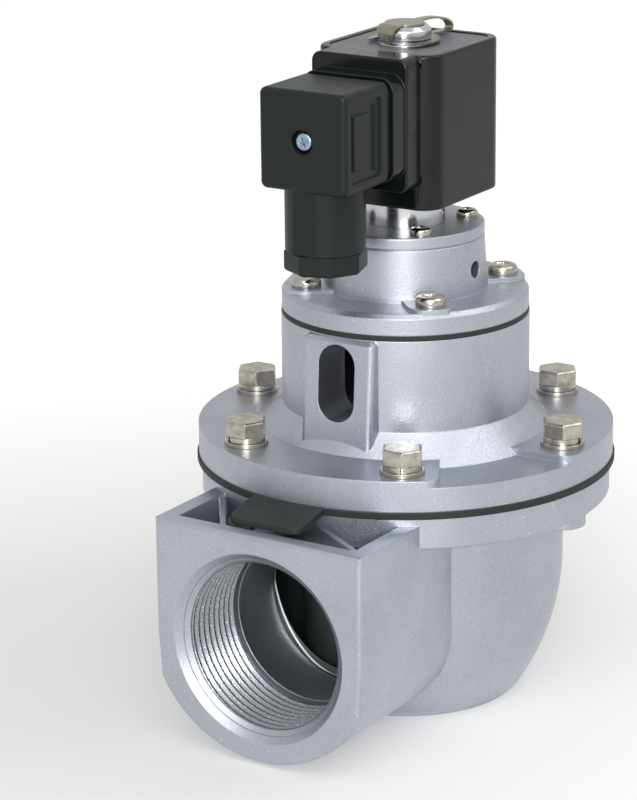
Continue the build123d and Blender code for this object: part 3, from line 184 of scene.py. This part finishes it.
def bumps(tree, shader, height, depth_mm, strength=1.0, edge_mm=0.0):
    """Relief on the shader's normal, and edges that catch the light as if rounded to edge_mm."""
    settings = {"Height": height, "Distance": depth_mm * MM, "Strength": strength}
    if edge_mm:
        settings["Normal"] = add(tree, "ShaderNodeBevel", {"Radius": edge_mm * MM}, samples=4).outputs["Normal"]
    node = add(tree, "ShaderNodeBump", settings)
    tree.links.new(node.outputs["Normal"], shader.inputs["Normal"])


# Finishes


def cast_surface(tree, shader, place):
    """The relief of bead-blasted die-cast aluminium. Returns its tone and its roughness."""
    cloud = speckle(tree, 16.0, 2.0, place=place)
    grain = speckle(tree, 0.5, 2.0, place=place)
    pits = speckle(tree, 0.55, 1.0, place=place)
    tone = blend_colours(tree, remap(tree, cloud, 0.35, 0.65, 0, 1), "#b2b6bf", "#b9bcc4")
    tone = blend_colours(tree, remap(tree, grain, 0.3, 0.46, 0.3, 0), tone, "#8f939b")
    tone = blend_colours(tree, remap(tree, pits, 0.68, 0.76, 0, 0.55), tone, "#eef0f4")
    rough = remap(tree, grain, 0.3, 0.7, 0.5, 0.34)
    bumps(tree, shader, grain, 0.05, 0.8, CAST_EDGE)
    return tone, rough


def blasted_aluminium():
    """Die-cast aluminium, bead blasted: a soft lilac grey with a fine bright grain."""
    material, tree, shader = new_material("blasted_aluminium", 0.42, 1.0)
    place = add(tree, "ShaderNodeTexCoord").outputs["Object"]
    tone, rough = cast_surface(tree, shader, place)
    tree.links.new(tone, shader.inputs["Base Color"])
    tree.links.new(rough, shader.inputs["Roughness"])
    return material


def axis_distance(tree, place, origin, along):
    """How far a point is from the axis through origin along 0 (X), 1 (Y) or 2 (Z)."""
    flat = [0.0 if axis == along else 1.0 for axis in (0, 1, 2)]
    shifted = add(tree, "ShaderNodeVectorMath", {0: place, 1: origin}, operation="SUBTRACT").outputs[0]
    across = add(tree, "ShaderNodeVectorMath", {0: shifted, 1: flat}, operation="MULTIPLY").outputs[0]
    return add(tree, "ShaderNodeVectorMath", {0: across}, operation="LENGTH").outputs["Value"]


def all_of(tree, *shares):
    """The product of shares between 0 and 1."""
    result = shares[0]
    for share in shares[1:]:
        result = add(tree, "ShaderNodeMath", {0: result, 1: share}, operation="MULTIPLY").outputs[0]
    return result


def body_casting():
    """The valve body: blasted aluminium outside. Its relief bore is bare metal painted pale, partly as painted
    light in the shaded bore, with a white painted highlight on its inner edge, and the chamber behind it is painted
    dark and a little green and less metallic, as painted shade."""
    material, tree, shader = new_material("body_casting", 0.42, 1.0)
    place = add(tree, "ShaderNodeTexCoord").outputs["Object"]
    tone, rough = cast_surface(tree, shader, place)
    height = add(tree, "ShaderNodeSeparateXYZ", {0: place}).outputs["Z"]
    from_inlet = axis_distance(tree, place, (0, 0, INLET_HEIGHT), 1)
    from_valve = axis_distance(tree, place, (0, 0, 0), 2)
    skin = 0.05 * MM
    # How deep a point is inside the chamber's wall
    under = remap(tree, height, 0, CHAMBER_STRAIGHT, CHAMBER_STRAIGHT, 0)
    bend = add(tree, "ShaderNodeMath", {0: under, 1: under}, operation="MULTIPLY").outputs[0]
    bend = add(tree, "ShaderNodeMath", {0: bend, 1: 2 * CHAMBER_BEND_R}, operation="DIVIDE").outputs[0]
    taken = add(tree, "ShaderNodeMath", {0: bend, 1: from_valve}, operation="ADD").outputs[0]
    depth = add(tree, "ShaderNodeMath", {0: CHAMBER_R, 1: taken}, operation="SUBTRACT").outputs[0]
    inside = all_of(
        tree, remap(tree, depth, -HALF_WALL, -HALF_WALL + skin, 0, 1),
        remap(tree, height, CHAMBER_FLOOR, CHAMBER_FLOOR + skin, 0, 1),
        remap(tree, height, CHAMBER_TOP, CHAMBER_TOP + skin, 1, 0)
    )
    in_bore = remap(tree, from_inlet, RELIEF_R + 2 * skin, RELIEF_R + 4 * skin, 1, 0)
    at_wall = remap(tree, depth, 0.1 * MM, 0.1 * MM + skin, 1, 0)
    # A thin band along the relief bore's inner edge, painted white below as a painted highlight
    ring = all_of(tree, in_bore, at_wall, remap(tree, depth, -HIGHLIGHT_RING_WIDTH, -HIGHLIGHT_RING_WIDTH + skin, 0, 1))
    reach = add(tree, "ShaderNodeSeparateXYZ", {0: place}).outputs["Y"]
    front = remap(tree, reach, INLET_SIDE, INLET_SIDE + skin, 1, 0)
    bare = all_of(tree, in_bore, front)
    # The bore's bare metal is painted pale with paler spots: its bare finish, partly lifted as painted light in the
    # shaded bore
    spots = remap(tree, speckle(tree, 0.9, 2.0, place=place), 0.6, 0.7, 0, 0.8)
    bare_and_painted_light_tone = blend_colours(tree, spots, "#cfd0da", "#f2f3f6")
    # Painted shade: the chamber's wall, deep inside the body, is painted dark grey-green
    chamber_painted_shade = blend_colours(tree, speckle(tree, 5.0, 3.0, place=place), "#3b4542", "#59645f")
    tone = blend_colours(tree, bare, tone, bare_and_painted_light_tone)
    tone = blend_colours(tree, inside, tone, chamber_painted_shade)
    # Painted highlight: the thin band at the bore's inner edge is painted white
    tone = blend_colours(tree, all_of(tree, ring, front), tone, "#ffffff")
    # Painted shade: the chamber's wall is also made less metallic, so that it stays dark
    tree.links.new(remap(tree, inside, 0, 1, 1.0, 0.25), shader.inputs["Metallic"])
    tree.links.new(tone, shader.inputs["Base Color"])
    tree.links.new(rough, shader.inputs["Roughness"])
    return material


def machined_aluminium():
    """Cut aluminium thread: bright, and glittering where the tool tore it."""
    material, tree, shader = new_material("machined_aluminium", 0.3, 1.0)
    grain = speckle(tree, 0.4, 2.0)
    torn = speckle(tree, 0.6, 2.0)
    tone = blend_colours(tree, remap(tree, grain, 0.3, 0.7, 0, 1), "#85888e", "#acafb4")
    tone = blend_colours(tree, remap(tree, torn, 0.64, 0.72, 0, 0.8), tone, "#f6f7f8")
    tree.links.new(tone, shader.inputs["Base Color"])
    tree.links.new(remap(tree, grain, 0.3, 0.7, 0.4, 0.22), shader.inputs["Roughness"])
    bumps(tree, shader, grain, 0.035, 1.0)
    return material


def stainless_steel():
    """Cold-formed stainless fasteners: warm grey and bright, with faint scuffs."""
    material, tree, shader = new_material("stainless_steel", 0.22, 1.0)
    scuffs = speckle(tree, 2.6, 2.0)
    tone = blend_colours(tree, remap(tree, scuffs, 0.35, 0.7, 0, 1), "#c2bdb1", "#a39d90")
    tree.links.new(tone, shader.inputs["Base Color"])
    tree.links.new(remap(tree, scuffs, 0.35, 0.65, 0.16, 0.27), shader.inputs["Roughness"])
    bumps(tree, shader, speckle(tree, 0.5), 0.006, 0.3)
    return material


def turned_steel():
    """Turned stainless steel: bright, with fine rings left by the tool."""
    material, tree, shader = new_material("turned_steel", 0.2, 1.0)
    place = add(tree, "ShaderNodeTexCoord").outputs["Object"]
    rings = add(tree, "ShaderNodeMapping", {"Vector": place, "Scale": (0.02, 0.02, 1.0)})
    marks = speckle(tree, 0.25, 2.0, place=rings.outputs["Vector"])
    tone = blend_colours(tree, marks, "#b4b5b8", "#dcdde0")
    tree.links.new(tone, shader.inputs["Base Color"])
    tree.links.new(remap(tree, marks, 0.3, 0.7, 0.14, 0.26), shader.inputs["Roughness"])
    return material


def spring_steel():
    """Drawn spring steel: a warm brownish grey, satin."""
    material, tree, shader = new_material("spring_steel", 0.28, 1.0)
    marks = speckle(tree, 1.2, 3.0)
    tone = blend_colours(tree, marks, "#857f72", "#b3ada0")
    tree.links.new(tone, shader.inputs["Base Color"])
    tree.links.new(remap(tree, marks, 0.3, 0.7, 0.22, 0.38), shader.inputs["Roughness"])
    return material


def zinc_plate():
    """Blue-passivated zinc plate: cool blue-grey, a little cloudy."""
    material, tree, shader = new_material("zinc_plate", 0.3, 1.0)
    cloud = speckle(tree, 2.2, 3.0)
    tone = blend_colours(tree, cloud, "#8395a3", "#b5c8d6")
    tree.links.new(tone, shader.inputs["Base Color"])
    tree.links.new(remap(tree, cloud, 0.3, 0.7, 0.24, 0.4), shader.inputs["Roughness"])
    return material


def yoke_steel():
    """Cut and plated yoke strip: flat violet grey, almost without a mirror image."""
    material, tree, shader = new_material("yoke_steel", 0.5, 0.6)
    cloud = speckle(tree, 5.0, 4.0)
    tone = blend_colours(tree, cloud, "#747479", "#88888d")
    tree.links.new(tone, shader.inputs["Base Color"])
    bumps(tree, shader, speckle(tree, 0.6), 0.02, 0.4)
    return material


def coil_moulding():
    """Polyester moulded round the coil: greenish black and glossy, and slightly wavy."""
    material, tree, shader = new_material("coil_moulding", 0.2, 0.0, IOR=1.5, Specular_IOR_Level=0.3)
    waves = speckle(tree, 14.0, 2.0)
    tone = blend_colours(tree, waves, "#0c100f", "#151a19")
    tree.links.new(tone, shader.inputs["Base Color"])
    tree.links.new(remap(tree, speckle(tree, 3.0, 4.0), 0.3, 0.7, 0.14, 0.26), shader.inputs["Roughness"])
    bumps(tree, shader, waves, 0.15, 0.3)
    return material


def connector_nylon():
    """Glass-filled nylon from a spark-eroded mould: black, satin, with a fine grain."""
    material, tree, shader = new_material("connector_nylon", 0.42, 0.0, IOR=1.5, Specular_IOR_Level=0.25)
    grain = speckle(tree, 0.4, 2.0)
    tone = blend_colours(tree, speckle(tree, 10.0), "#151a19", "#1f2524")
    tree.links.new(tone, shader.inputs["Base Color"])
    tree.links.new(remap(tree, grain, 0.3, 0.7, 0.46, 0.32), shader.inputs["Roughness"])
    bumps(tree, shader, grain, 0.02, 0.6)
    return material


def nitrile_rubber():
    """Pressed nitrile sheet: greenish black, dull."""
    material, tree, shader = new_material("nitrile_rubber", 0.6, 0.0, IOR=1.52, Specular_IOR_Level=0.35)
    grain = speckle(tree, 0.6, 2.0)
    tone = blend_colours(tree, speckle(tree, 7.0), "#1d2321", "#2b3230")
    tree.links.new(tone, shader.inputs["Base Color"])
    bumps(tree, shader, grain, 0.03, 0.5)
    return material


def natural_nylon():
    """Unpigmented nylon of the bobbin: cream, waxy."""
    material, tree, shader = new_material("natural_nylon", 0.4, 0.0, IOR=1.53)
    tree.links.new(blend_colours(tree, speckle(tree, 6.0), "#d9d3c0", "#e6e1d2"), shader.inputs["Base Color"])
    return material


def enamelled_copper():
    """Wound enamelled wire: each turn a fine ridge."""
    material, tree, shader = new_material("enamelled_copper", 0.3, 1.0)
    place = add(tree, "ShaderNodeTexCoord").outputs["Object"]
    height = add(tree, "ShaderNodeSeparateXYZ", {0: place}).outputs["Z"]
    turns = add(tree, "ShaderNodeMath", {0: height, 1: 2 * pi / (0.3 * MM)}, operation="MULTIPLY")
    ridge = add(tree, "ShaderNodeMath", {0: turns.outputs[0]}, operation="SINE").outputs[0]
    tree.links.new(blend_colours(tree, speckle(tree, 3.0), "#a8562c", "#c87a45"), shader.inputs["Base Color"])
    bumps(tree, shader, ridge, 0.06)
    return material


ALUMINIUM = blasted_aluminium()
MACHINED = machined_aluminium()
FINISHES = {
    "cast_aluminium": ALUMINIUM,
    "rubber": nitrile_rubber(),
    "stainless_steel": stainless_steel(),
    "turned_steel": turned_steel(),
    "spring_steel": spring_steel(),
    "coil_moulding": coil_moulding(),
    "connector_nylon": connector_nylon(),
    "natural_nylon": natural_nylon(),
    "copper_wire": enamelled_copper(),
    "zinc_plate": zinc_plate(),
}
OWN_FINISHES = {"coil_yoke": yoke_steel(), "valve_body": body_casting()}


def dress_nodes():
    """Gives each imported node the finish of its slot, or its own."""
    for part in frame["record"]["subparts"]:
        node = frame["nodes"][part["node"]]
        finish = OWN_FINISHES.get(part["node"], FINISHES[part["material_slot"]])
        node.data.materials.clear()
        node.data.materials.append(finish)


# Softened edges of the nodes that aren't castings, in millimetres
EASED_EDGES = {
    "coil_housing": 0.3,
    "connector_housing": 0.25,
    "gland_nut": 0.25,
    "main_diaphragm": 0.2,
    "small_diaphragm": 0.15,
    "armature_tube": 0.12,
    "fixed_core": 0.15,
    "bonnet_bolts": 0.2,
    "bonnet_spring_washers": 0.12,
    "bonnet_flat_washers": 0.15,
    "coil_yoke": 0.15,
}


def ease_edges():
    """Rounds the sharp edges of the nodes that show, and shades what is round as round."""
    for name, width in EASED_EDGES.items():
        node = frame["nodes"][name]
        node.data.polygons.foreach_set("use_smooth", [True] * len(node.data.polygons))
        weld = node.modifiers.new("weld", "WELD")
        weld.merge_threshold = MERGE
        flats = node.modifiers.new("flats", "DECIMATE")
        flats.decimate_type = "DISSOLVE"
        flats.angle_limit = FLAT
        edges = node.modifiers.new("edges", "BEVEL")
        edges.width = width * MM
        edges.segments = 2
        edges.limit_method = "ANGLE"
        edges.angle_limit = NODE_EDGE
        edges.use_clamp_overlap = False
        shading = node.modifiers.new("shading", "WEIGHTED_NORMAL")
        shading.keep_sharp = True


# New pieces


def finish_piece(piece, body, material):
    """Names what carries a new piece, and gives it its finish."""
    piece.data.materials.clear()
    piece.data.materials.append(material)
    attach(piece, body)


def screwed_ring(name, profile, turn, climb, steps, closed):
    """A piece swept round +Z from a profile of (radius, height) corners, closed outward-facing."""
    bpy.ops.mesh.primitive_circle_add(vertices=len(profile), fill_type="NOTHING")
    piece = bpy.context.object
    piece.name = name
    for vertex, (across, up) in zip(piece.data.vertices, profile):
        vertex.co = (across, 0, up)
    sweep = piece.modifiers.new("sweep", "SCREW")
    sweep.angle = turn
    sweep.screw_offset = climb
    sweep.steps = sweep.render_steps = steps
    sweep.use_merge_vertices = closed
    sweep.merge_threshold = 0.001 * MM
    bpy.ops.object.modifier_apply(modifier=sweep.name)
    bpy.ops.object.mode_set(mode="EDIT")
    if not closed:
        bpy.ops.mesh.select_all(action="DESELECT")
        bpy.ops.mesh.select_non_manifold(extend=False, use_wire=False, use_multi_face=False,
                                         use_non_contiguous=False, use_verts=False)
        bpy.ops.mesh.edge_face_add()
    bpy.ops.mesh.select_all(action="SELECT")
    bpy.ops.mesh.normals_make_consistent(inside=False)
    bpy.ops.object.mode_set(mode="OBJECT")
    return piece


def port_thread(name, start, laid):
    """A pipe thread's ridge: one V that climbs the bore from start, and runs out in the wall at its end.
    Made about +Z, then laid in the port."""
    turns = (THREAD_DEPTH - start) / THREAD_PITCH - TURNS_LEFT_OUT
    foot = THREAD_R + SUNK
    crest = THREAD_R - THREAD_RIDGE
    half = THREAD_PITCH * RIDGE_HALF
    land = THREAD_PITCH * RIDGE_LAND
    first = start + THREAD_PITCH * 0.5
    profile = ((foot, first - half), (foot, first + half), (crest, first + land), (crest, first - land))
    piece = screwed_ring(name, profile, 2 * pi * turns, THREAD_PITCH * turns, round(STEPS_A_TURN * turns), False)
    top = first + THREAD_PITCH * turns
    for vertex in piece.data.vertices:
        across = vertex.co.xy.length
        left = (top - vertex.co.z) / (THREAD_PITCH * RUN_OUT)
        if across < THREAD_R and left < 1.0:
            wanted = foot - (foot - across) * max(left, 0.0)
            vertex.co.x *= wanted / across
            vertex.co.y *= wanted / across
    piece.data.transform(laid)
    bpy.ops.object.shade_smooth_by_angle(angle=SMOOTH_RING)
    finish_piece(piece, "root", MACHINED)


def lead_in(name, laid):
    """The cone that the mouth's countersink cuts through the first turns of the thread."""
    mouth = (THREAD_R + SUNK, MOUTH_DEPTH)
    inner = (LEAD_IN_R, LEAD_IN_DEPTH)
    back = (THREAD_R + SUNK, LEAD_IN_DEPTH + CONE_BACK)
    piece = screwed_ring(name, (mouth, inner, back), 2 * pi, 0.0, CONE_STEPS, True)
    piece.data.transform(laid)
    bpy.ops.object.shade_smooth_by_angle(angle=SMOOTH_RING)
    finish_piece(piece, "root", ALUMINIUM)


def boss_outline(angle):
    """The inlet boss's radius at an angle below its flat sides."""
    if angle < BOSS_CORNER:
        return (BOSS_R - BOSS_LEAN * angle) / cos(angle)
    arc_r = BOSS_R + BOSS_ARC_RISE
    return (arc_r**2 - (BOSS_ARC_RISE * cos(angle)) ** 2) ** 0.5 - BOSS_ARC_RISE * sin(angle)


def shape_body():
    """The valve body with the boss's real outline: its round skin is moved out to the flats and the wide arc."""
    piece = copy_node("valve_body", "body_casting", flats=False)
    for vertex in piece.data.vertices:
        across, down = vertex.co.x, INLET_HEIGHT - vertex.co.z
        reach = (across**2 + down**2) ** 0.5
        share = min((BOSS_ROOT - vertex.co.y) / BOSS_ROOT_FADE, 1.0)
        on_skin = BOSS_R - BOSS_FILLET_R - BOSS_SKIN < reach < BOSS_R + BOSS_SKIN
        if share < 0 or down < 0 or not on_skin:
            continue
        grown = 1 + share * (boss_outline(atan2(down, abs(across))) - BOSS_R) / reach
        vertex.co.x = across * grown
        vertex.co.z = INLET_HEIGHT - down * grown
    bpy.ops.object.shade_smooth_by_angle(angle=SMOOTH_BODY)
    shading = piece.modifiers.new("shading", "WEIGHTED_NORMAL")
    shading.keep_sharp = True
    bpy.ops.object.modifier_apply(modifier=shading.name)
    finish_piece(piece, "root", OWN_FINISHES["valve_body"])
    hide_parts("valve_body")


def cross_cutter(places, arm, width, depth):
    """Tapered crosses, one at each place, that cut driver recesses. Each is made about +Z, going down."""
    half = width / 2
    quarter = ((arm, -half), (arm, half), (half, half))
    bpy.ops.mesh.primitive_circle_add(vertices=12, fill_type="NGON")
    cutter = bpy.context.object
    corners = [Matrix.Rotation(k * pi / 2, 2) @ Vector(corner) for k in range(4) for corner in quarter]
    for vertex, corner in zip(cutter.data.vertices, corners):
        vertex.co = (corner.x, corner.y, CUTTER_ABOVE)
    bpy.ops.object.mode_set(mode="EDIT")
    bpy.ops.mesh.select_all(action="SELECT")
    bpy.ops.mesh.extrude_region_move(TRANSFORM_OT_translate={"value": (0, 0, -CUTTER_ABOVE - depth)})
    bpy.ops.transform.resize(value=(RECESS_TAPER, RECESS_TAPER, 1), center_override=(0, 0, -depth))
    bpy.ops.mesh.select_all(action="SELECT")
    bpy.ops.mesh.normals_make_consistent(inside=False)
    bpy.ops.object.mode_set(mode="OBJECT")
    copies = []
    for place in places[1:]:
        copy = cutter.copy()
        copy.data = cutter.data.copy()
        copy.data.transform(place)
        bpy.context.scene.collection.objects.link(copy)
        copies.append(copy)
    cutter.data.transform(places[0])
    for copy in copies:
        copy.select_set(True)
    cutter.select_set(True)
    bpy.context.view_layer.objects.active = cutter
    if copies:
        bpy.ops.object.join()
    return cutter


def copy_node(node_name, name, flats=True):
    """A merged copy of a CAD node, ready to be shaped or cut, with its flat faces whole where flats is true. The CAD's
    own normals don't fit a mesh that is shaped further, so they are dropped."""
    bpy.ops.object.select_all(action="DESELECT")
    node = frame["nodes"][node_name]
    piece = node.copy()
    piece.data = node.data.copy()
    piece.name = name
    piece.modifiers.clear()
    bpy.context.scene.collection.objects.link(piece)
    piece.select_set(True)
    bpy.context.view_layer.objects.active = piece
    bpy.ops.object.mode_set(mode="EDIT")
    bpy.ops.mesh.select_all(action="SELECT")
    bpy.ops.mesh.remove_doubles(threshold=MERGE)
    bpy.ops.mesh.customdata_custom_splitnormals_clear()
    if flats:
        bpy.ops.mesh.dissolve_limited(angle_limit=FLAT)
    bpy.ops.object.mode_set(mode="OBJECT")
    return piece


def cut_screws(node_name, name, body, slot, places, arm, width, depth, edge):
    """The screws of a node, with a cross recess in each head and softened edges."""
    piece = copy_node(node_name, name)
    bpy.ops.object.select_all(action="DESELECT")
    cutter = cross_cutter(places, arm, width, depth)
    bpy.ops.object.select_all(action="DESELECT")
    piece.select_set(True)
    bpy.context.view_layer.objects.active = piece
    cut = piece.modifiers.new("recess", "BOOLEAN")
    cut.operation = "DIFFERENCE"
    cut.solver = "EXACT"
    cut.object = cutter
    bpy.ops.object.modifier_apply(modifier=cut.name)
    bpy.data.objects.remove(cutter)
    edges = piece.modifiers.new("edges", "BEVEL")
    edges.width = edge * MM
    edges.segments = 2
    edges.limit_method = "ANGLE"
    edges.angle_limit = SCREW_EDGE
    edges.use_clamp_overlap = False
    bpy.ops.object.modifier_apply(modifier=edges.name)
    bpy.ops.object.shade_smooth_by_angle(angle=SMOOTH_SCREW)
    finish_piece(piece, body, FINISHES[slot])
    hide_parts(node_name)


# Studio

# Soft boxes: name, azimuth from the inlet towards the right, rise, distance, size and power
SOFT_BOXES = (
    ("key", 30.0, 50.0, 1.3, 1.1, 8.0),
    ("front", 29.0, 16.0, 1.5, 0.5, 10.0),
    ("side", 118.0, 52.0, 1.2, 0.7, 2.5),
)
SKY_LIGHT = 0.32
SKY_IN_METAL = 0.73
FLOOR_IN_METAL = 0.45
FLOOR_LIFT_NEAR = 0.33
FLOOR_LIFT_FAR = 0.75
# Distances from the middle of the painted shadow over which the floor's light rises from near to far
PAINTED_SHADOW_NEAR = 80.0 * MM
PAINTED_SHADOW_FAR = 350.0 * MM
FLOOR_SIZE = 8.0
FLOOR_GAP = 0.05 * MM
AIM_HEIGHT = 80.0 * MM
# The middle of the floor's painted shadow, to the left of the valve, where the floor gives off least light
PAINTED_SHADOW_MIDDLE = (-69.0 * MM, -41.0 * MM, 0.0)


def seen_directly(tree):
    """The light path, and 1 for what the camera sees straight, in metal or through glass, otherwise 0."""
    path = add(tree, "ShaderNodeLightPath")
    seen = add(tree, "ShaderNodeMath", {0: path.outputs["Is Camera Ray"], 1: path.outputs["Is Glossy Ray"]},
               operation="MAXIMUM")
    return path, add(tree, "ShaderNodeMath", {0: seen.outputs[0], 1: path.outputs["Is Transmission Ray"]},
                     operation="MAXIMUM").outputs[0]


def build_studio():
    """A white floor that keeps a soft shadow, soft boxes and a pale sky.
    The floor gives off a little light, and less left of the valve: a painted shadow that fades to white."""
    bpy.ops.mesh.primitive_plane_add(size=FLOOR_SIZE, location=(0, 0, 0))
    floor = bpy.context.object
    floor.name = "floor"
    floor.location = (0, 0, cad_box[0].z - FLOOR_GAP)
    material, tree, shader = new_material("white_paper", 0.9)
    shader.inputs["Base Color"].default_value = linear("#c4c4c4")
    shader.inputs["Specular IOR Level"].default_value = 0.1
    path, seen = seen_directly(tree)
    # Painted shadow: the floor gives off less light the nearer it is to a point left of the valve
    away = axis_distance(tree, add(tree, "ShaderNodeTexCoord").outputs["Object"], PAINTED_SHADOW_MIDDLE, 2)
    lift = remap(tree, away, PAINTED_SHADOW_NEAR, PAINTED_SHADOW_FAR, FLOOR_LIFT_NEAR, FLOOR_LIFT_FAR)
    lift = blend_numbers(tree, path.outputs["Is Camera Ray"], remap(tree, seen, 0, 1, 0, FLOOR_IN_METAL), lift)
    shader.inputs["Emission Color"].default_value = (1, 1, 1, 1)
    tree.links.new(lift, shader.inputs["Emission Strength"])
    floor.data.materials.append(material)

    world = bpy.data.worlds.new("studio")
    bpy.context.scene.world = world
    world.use_nodes = True
    tree = world.node_tree
    path, seen = seen_directly(tree)
    level = remap(tree, seen, 0, 1, SKY_LIGHT, SKY_IN_METAL)
    camera_share = remap(tree, path.outputs["Is Camera Ray"], 0, 1, 0, 1.0 - SKY_IN_METAL)
    level = add(tree, "ShaderNodeMath", {0: level, 1: camera_share}, operation="ADD").outputs[0]
    tree.links.new(level, tree.nodes["Background"].inputs["Strength"])
    tree.nodes["Background"].inputs["Color"].default_value = (1, 1, 1, 1)

    for name, azimuth, rise, distance, size, power in SOFT_BOXES:
        lamp = bpy.data.lights.new(name, "AREA")
        lamp.size = size
        lamp.energy = power
        holder = bpy.data.objects.new(name, lamp)
        bpy.context.scene.collection.objects.link(holder)
        turn, climb = radians(azimuth), radians(rise)
        flat = distance * cos(climb)
        aim = Vector((0, 0, AIM_HEIGHT))
        place = aim + Vector((flat * sin(turn), -flat * cos(turn), distance * sin(climb)))
        holder.location = place
        holder.rotation_euler = (aim - place).to_track_quat("-Z", "Y").to_euler()


# Camera: found by fitting the valve's own round edges in the photograph
CAMERA_AZIMUTH = radians(31.0)
CAMERA_DISTANCE = 825.9 * MM
CAMERA_HEIGHT = 332.5 * MM
CAMERA_PITCH = radians(17.028)
CAMERA_YAW = radians(-1.629)
CAMERA_ROLL = radians(-0.604)
CAMERA_LENS = 144.0
CAMERA_SENSOR = 36.0
CAMERA_NEAR = 0.05
CAMERA_FAR = 30.0


def place_camera():
    """The photograph's own view."""
    data = bpy.data.cameras.new("camera")
    data.lens = CAMERA_LENS
    data.sensor_width = CAMERA_SENSOR
    data.clip_start = CAMERA_NEAR
    data.clip_end = CAMERA_FAR
    camera = bpy.data.objects.new("camera", data)
    bpy.context.scene.collection.objects.link(camera)
    heading = Matrix.Rotation(CAMERA_AZIMUTH - CAMERA_YAW, 4, "Z")
    tilt = Matrix.Rotation(pi / 2 - CAMERA_PITCH, 4, "X")
    roll = Matrix.Rotation(CAMERA_ROLL, 4, "Z")
    place = Matrix.Translation(
        (CAMERA_DISTANCE * sin(CAMERA_AZIMUTH), -CAMERA_DISTANCE * cos(CAMERA_AZIMUTH), CAMERA_HEIGHT)
    )
    camera.matrix_world = place @ heading @ tilt @ roll
    bpy.context.scene.camera = camera


dress_nodes()
ease_edges()
into_inlet = Matrix.Translation((0, -INLET_REACH, INLET_HEIGHT)) @ Matrix.Rotation(radians(-90), 4, "X")
port_thread("outlet_thread", OUTLET_THREAD_START, Matrix.Identity(4))
port_thread("inlet_thread", INLET_THREAD_START, into_inlet)
lead_in("inlet_lead_in", into_inlet)
shape_body()

turned = Matrix.Rotation(SCREW_TURN, 4, "Z")
# Screws in fours: their node, the new piece, the head's radius, and the recess's arm, width and depth
for node_name, name, head, recess in (
    ("pilot_cover_screws", "cover_screws", COVER_SCREW_HEAD_R, (2.1 * MM, 0.8 * MM, 1.3 * MM)),
    ("pilot_cap_screws", "cap_screws", CAP_SCREW_HEAD_R, (1.5 * MM, 0.6 * MM, 1.0 * MM)),
):
    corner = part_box(node_name)[1]
    ring = corner.x - head
    places = [Matrix.Translation((x * ring, y * ring, corner.z)) @ turned for x in (-1, 1) for y in (-1, 1)]
    cut_screws(node_name, name, "root", "stainless_steel", places, *recess, 0.12)
plug_low, plug_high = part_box("connector_screw")
plug_middle = (plug_low.z + plug_high.z) / 2
facing = Matrix.Translation((0, plug_low.y, plug_middle)) @ Matrix.Rotation(radians(90), 4, "X") @ turned
cut_screws("connector_screw", "plug_screw", "coil", "zinc_plate", [facing], 1.5 * MM, 0.6 * MM, 0.9 * MM, 0.1)
build_studio()
place_camera()

scene = bpy.context.scene
scene.view_settings.view_transform = "Standard"
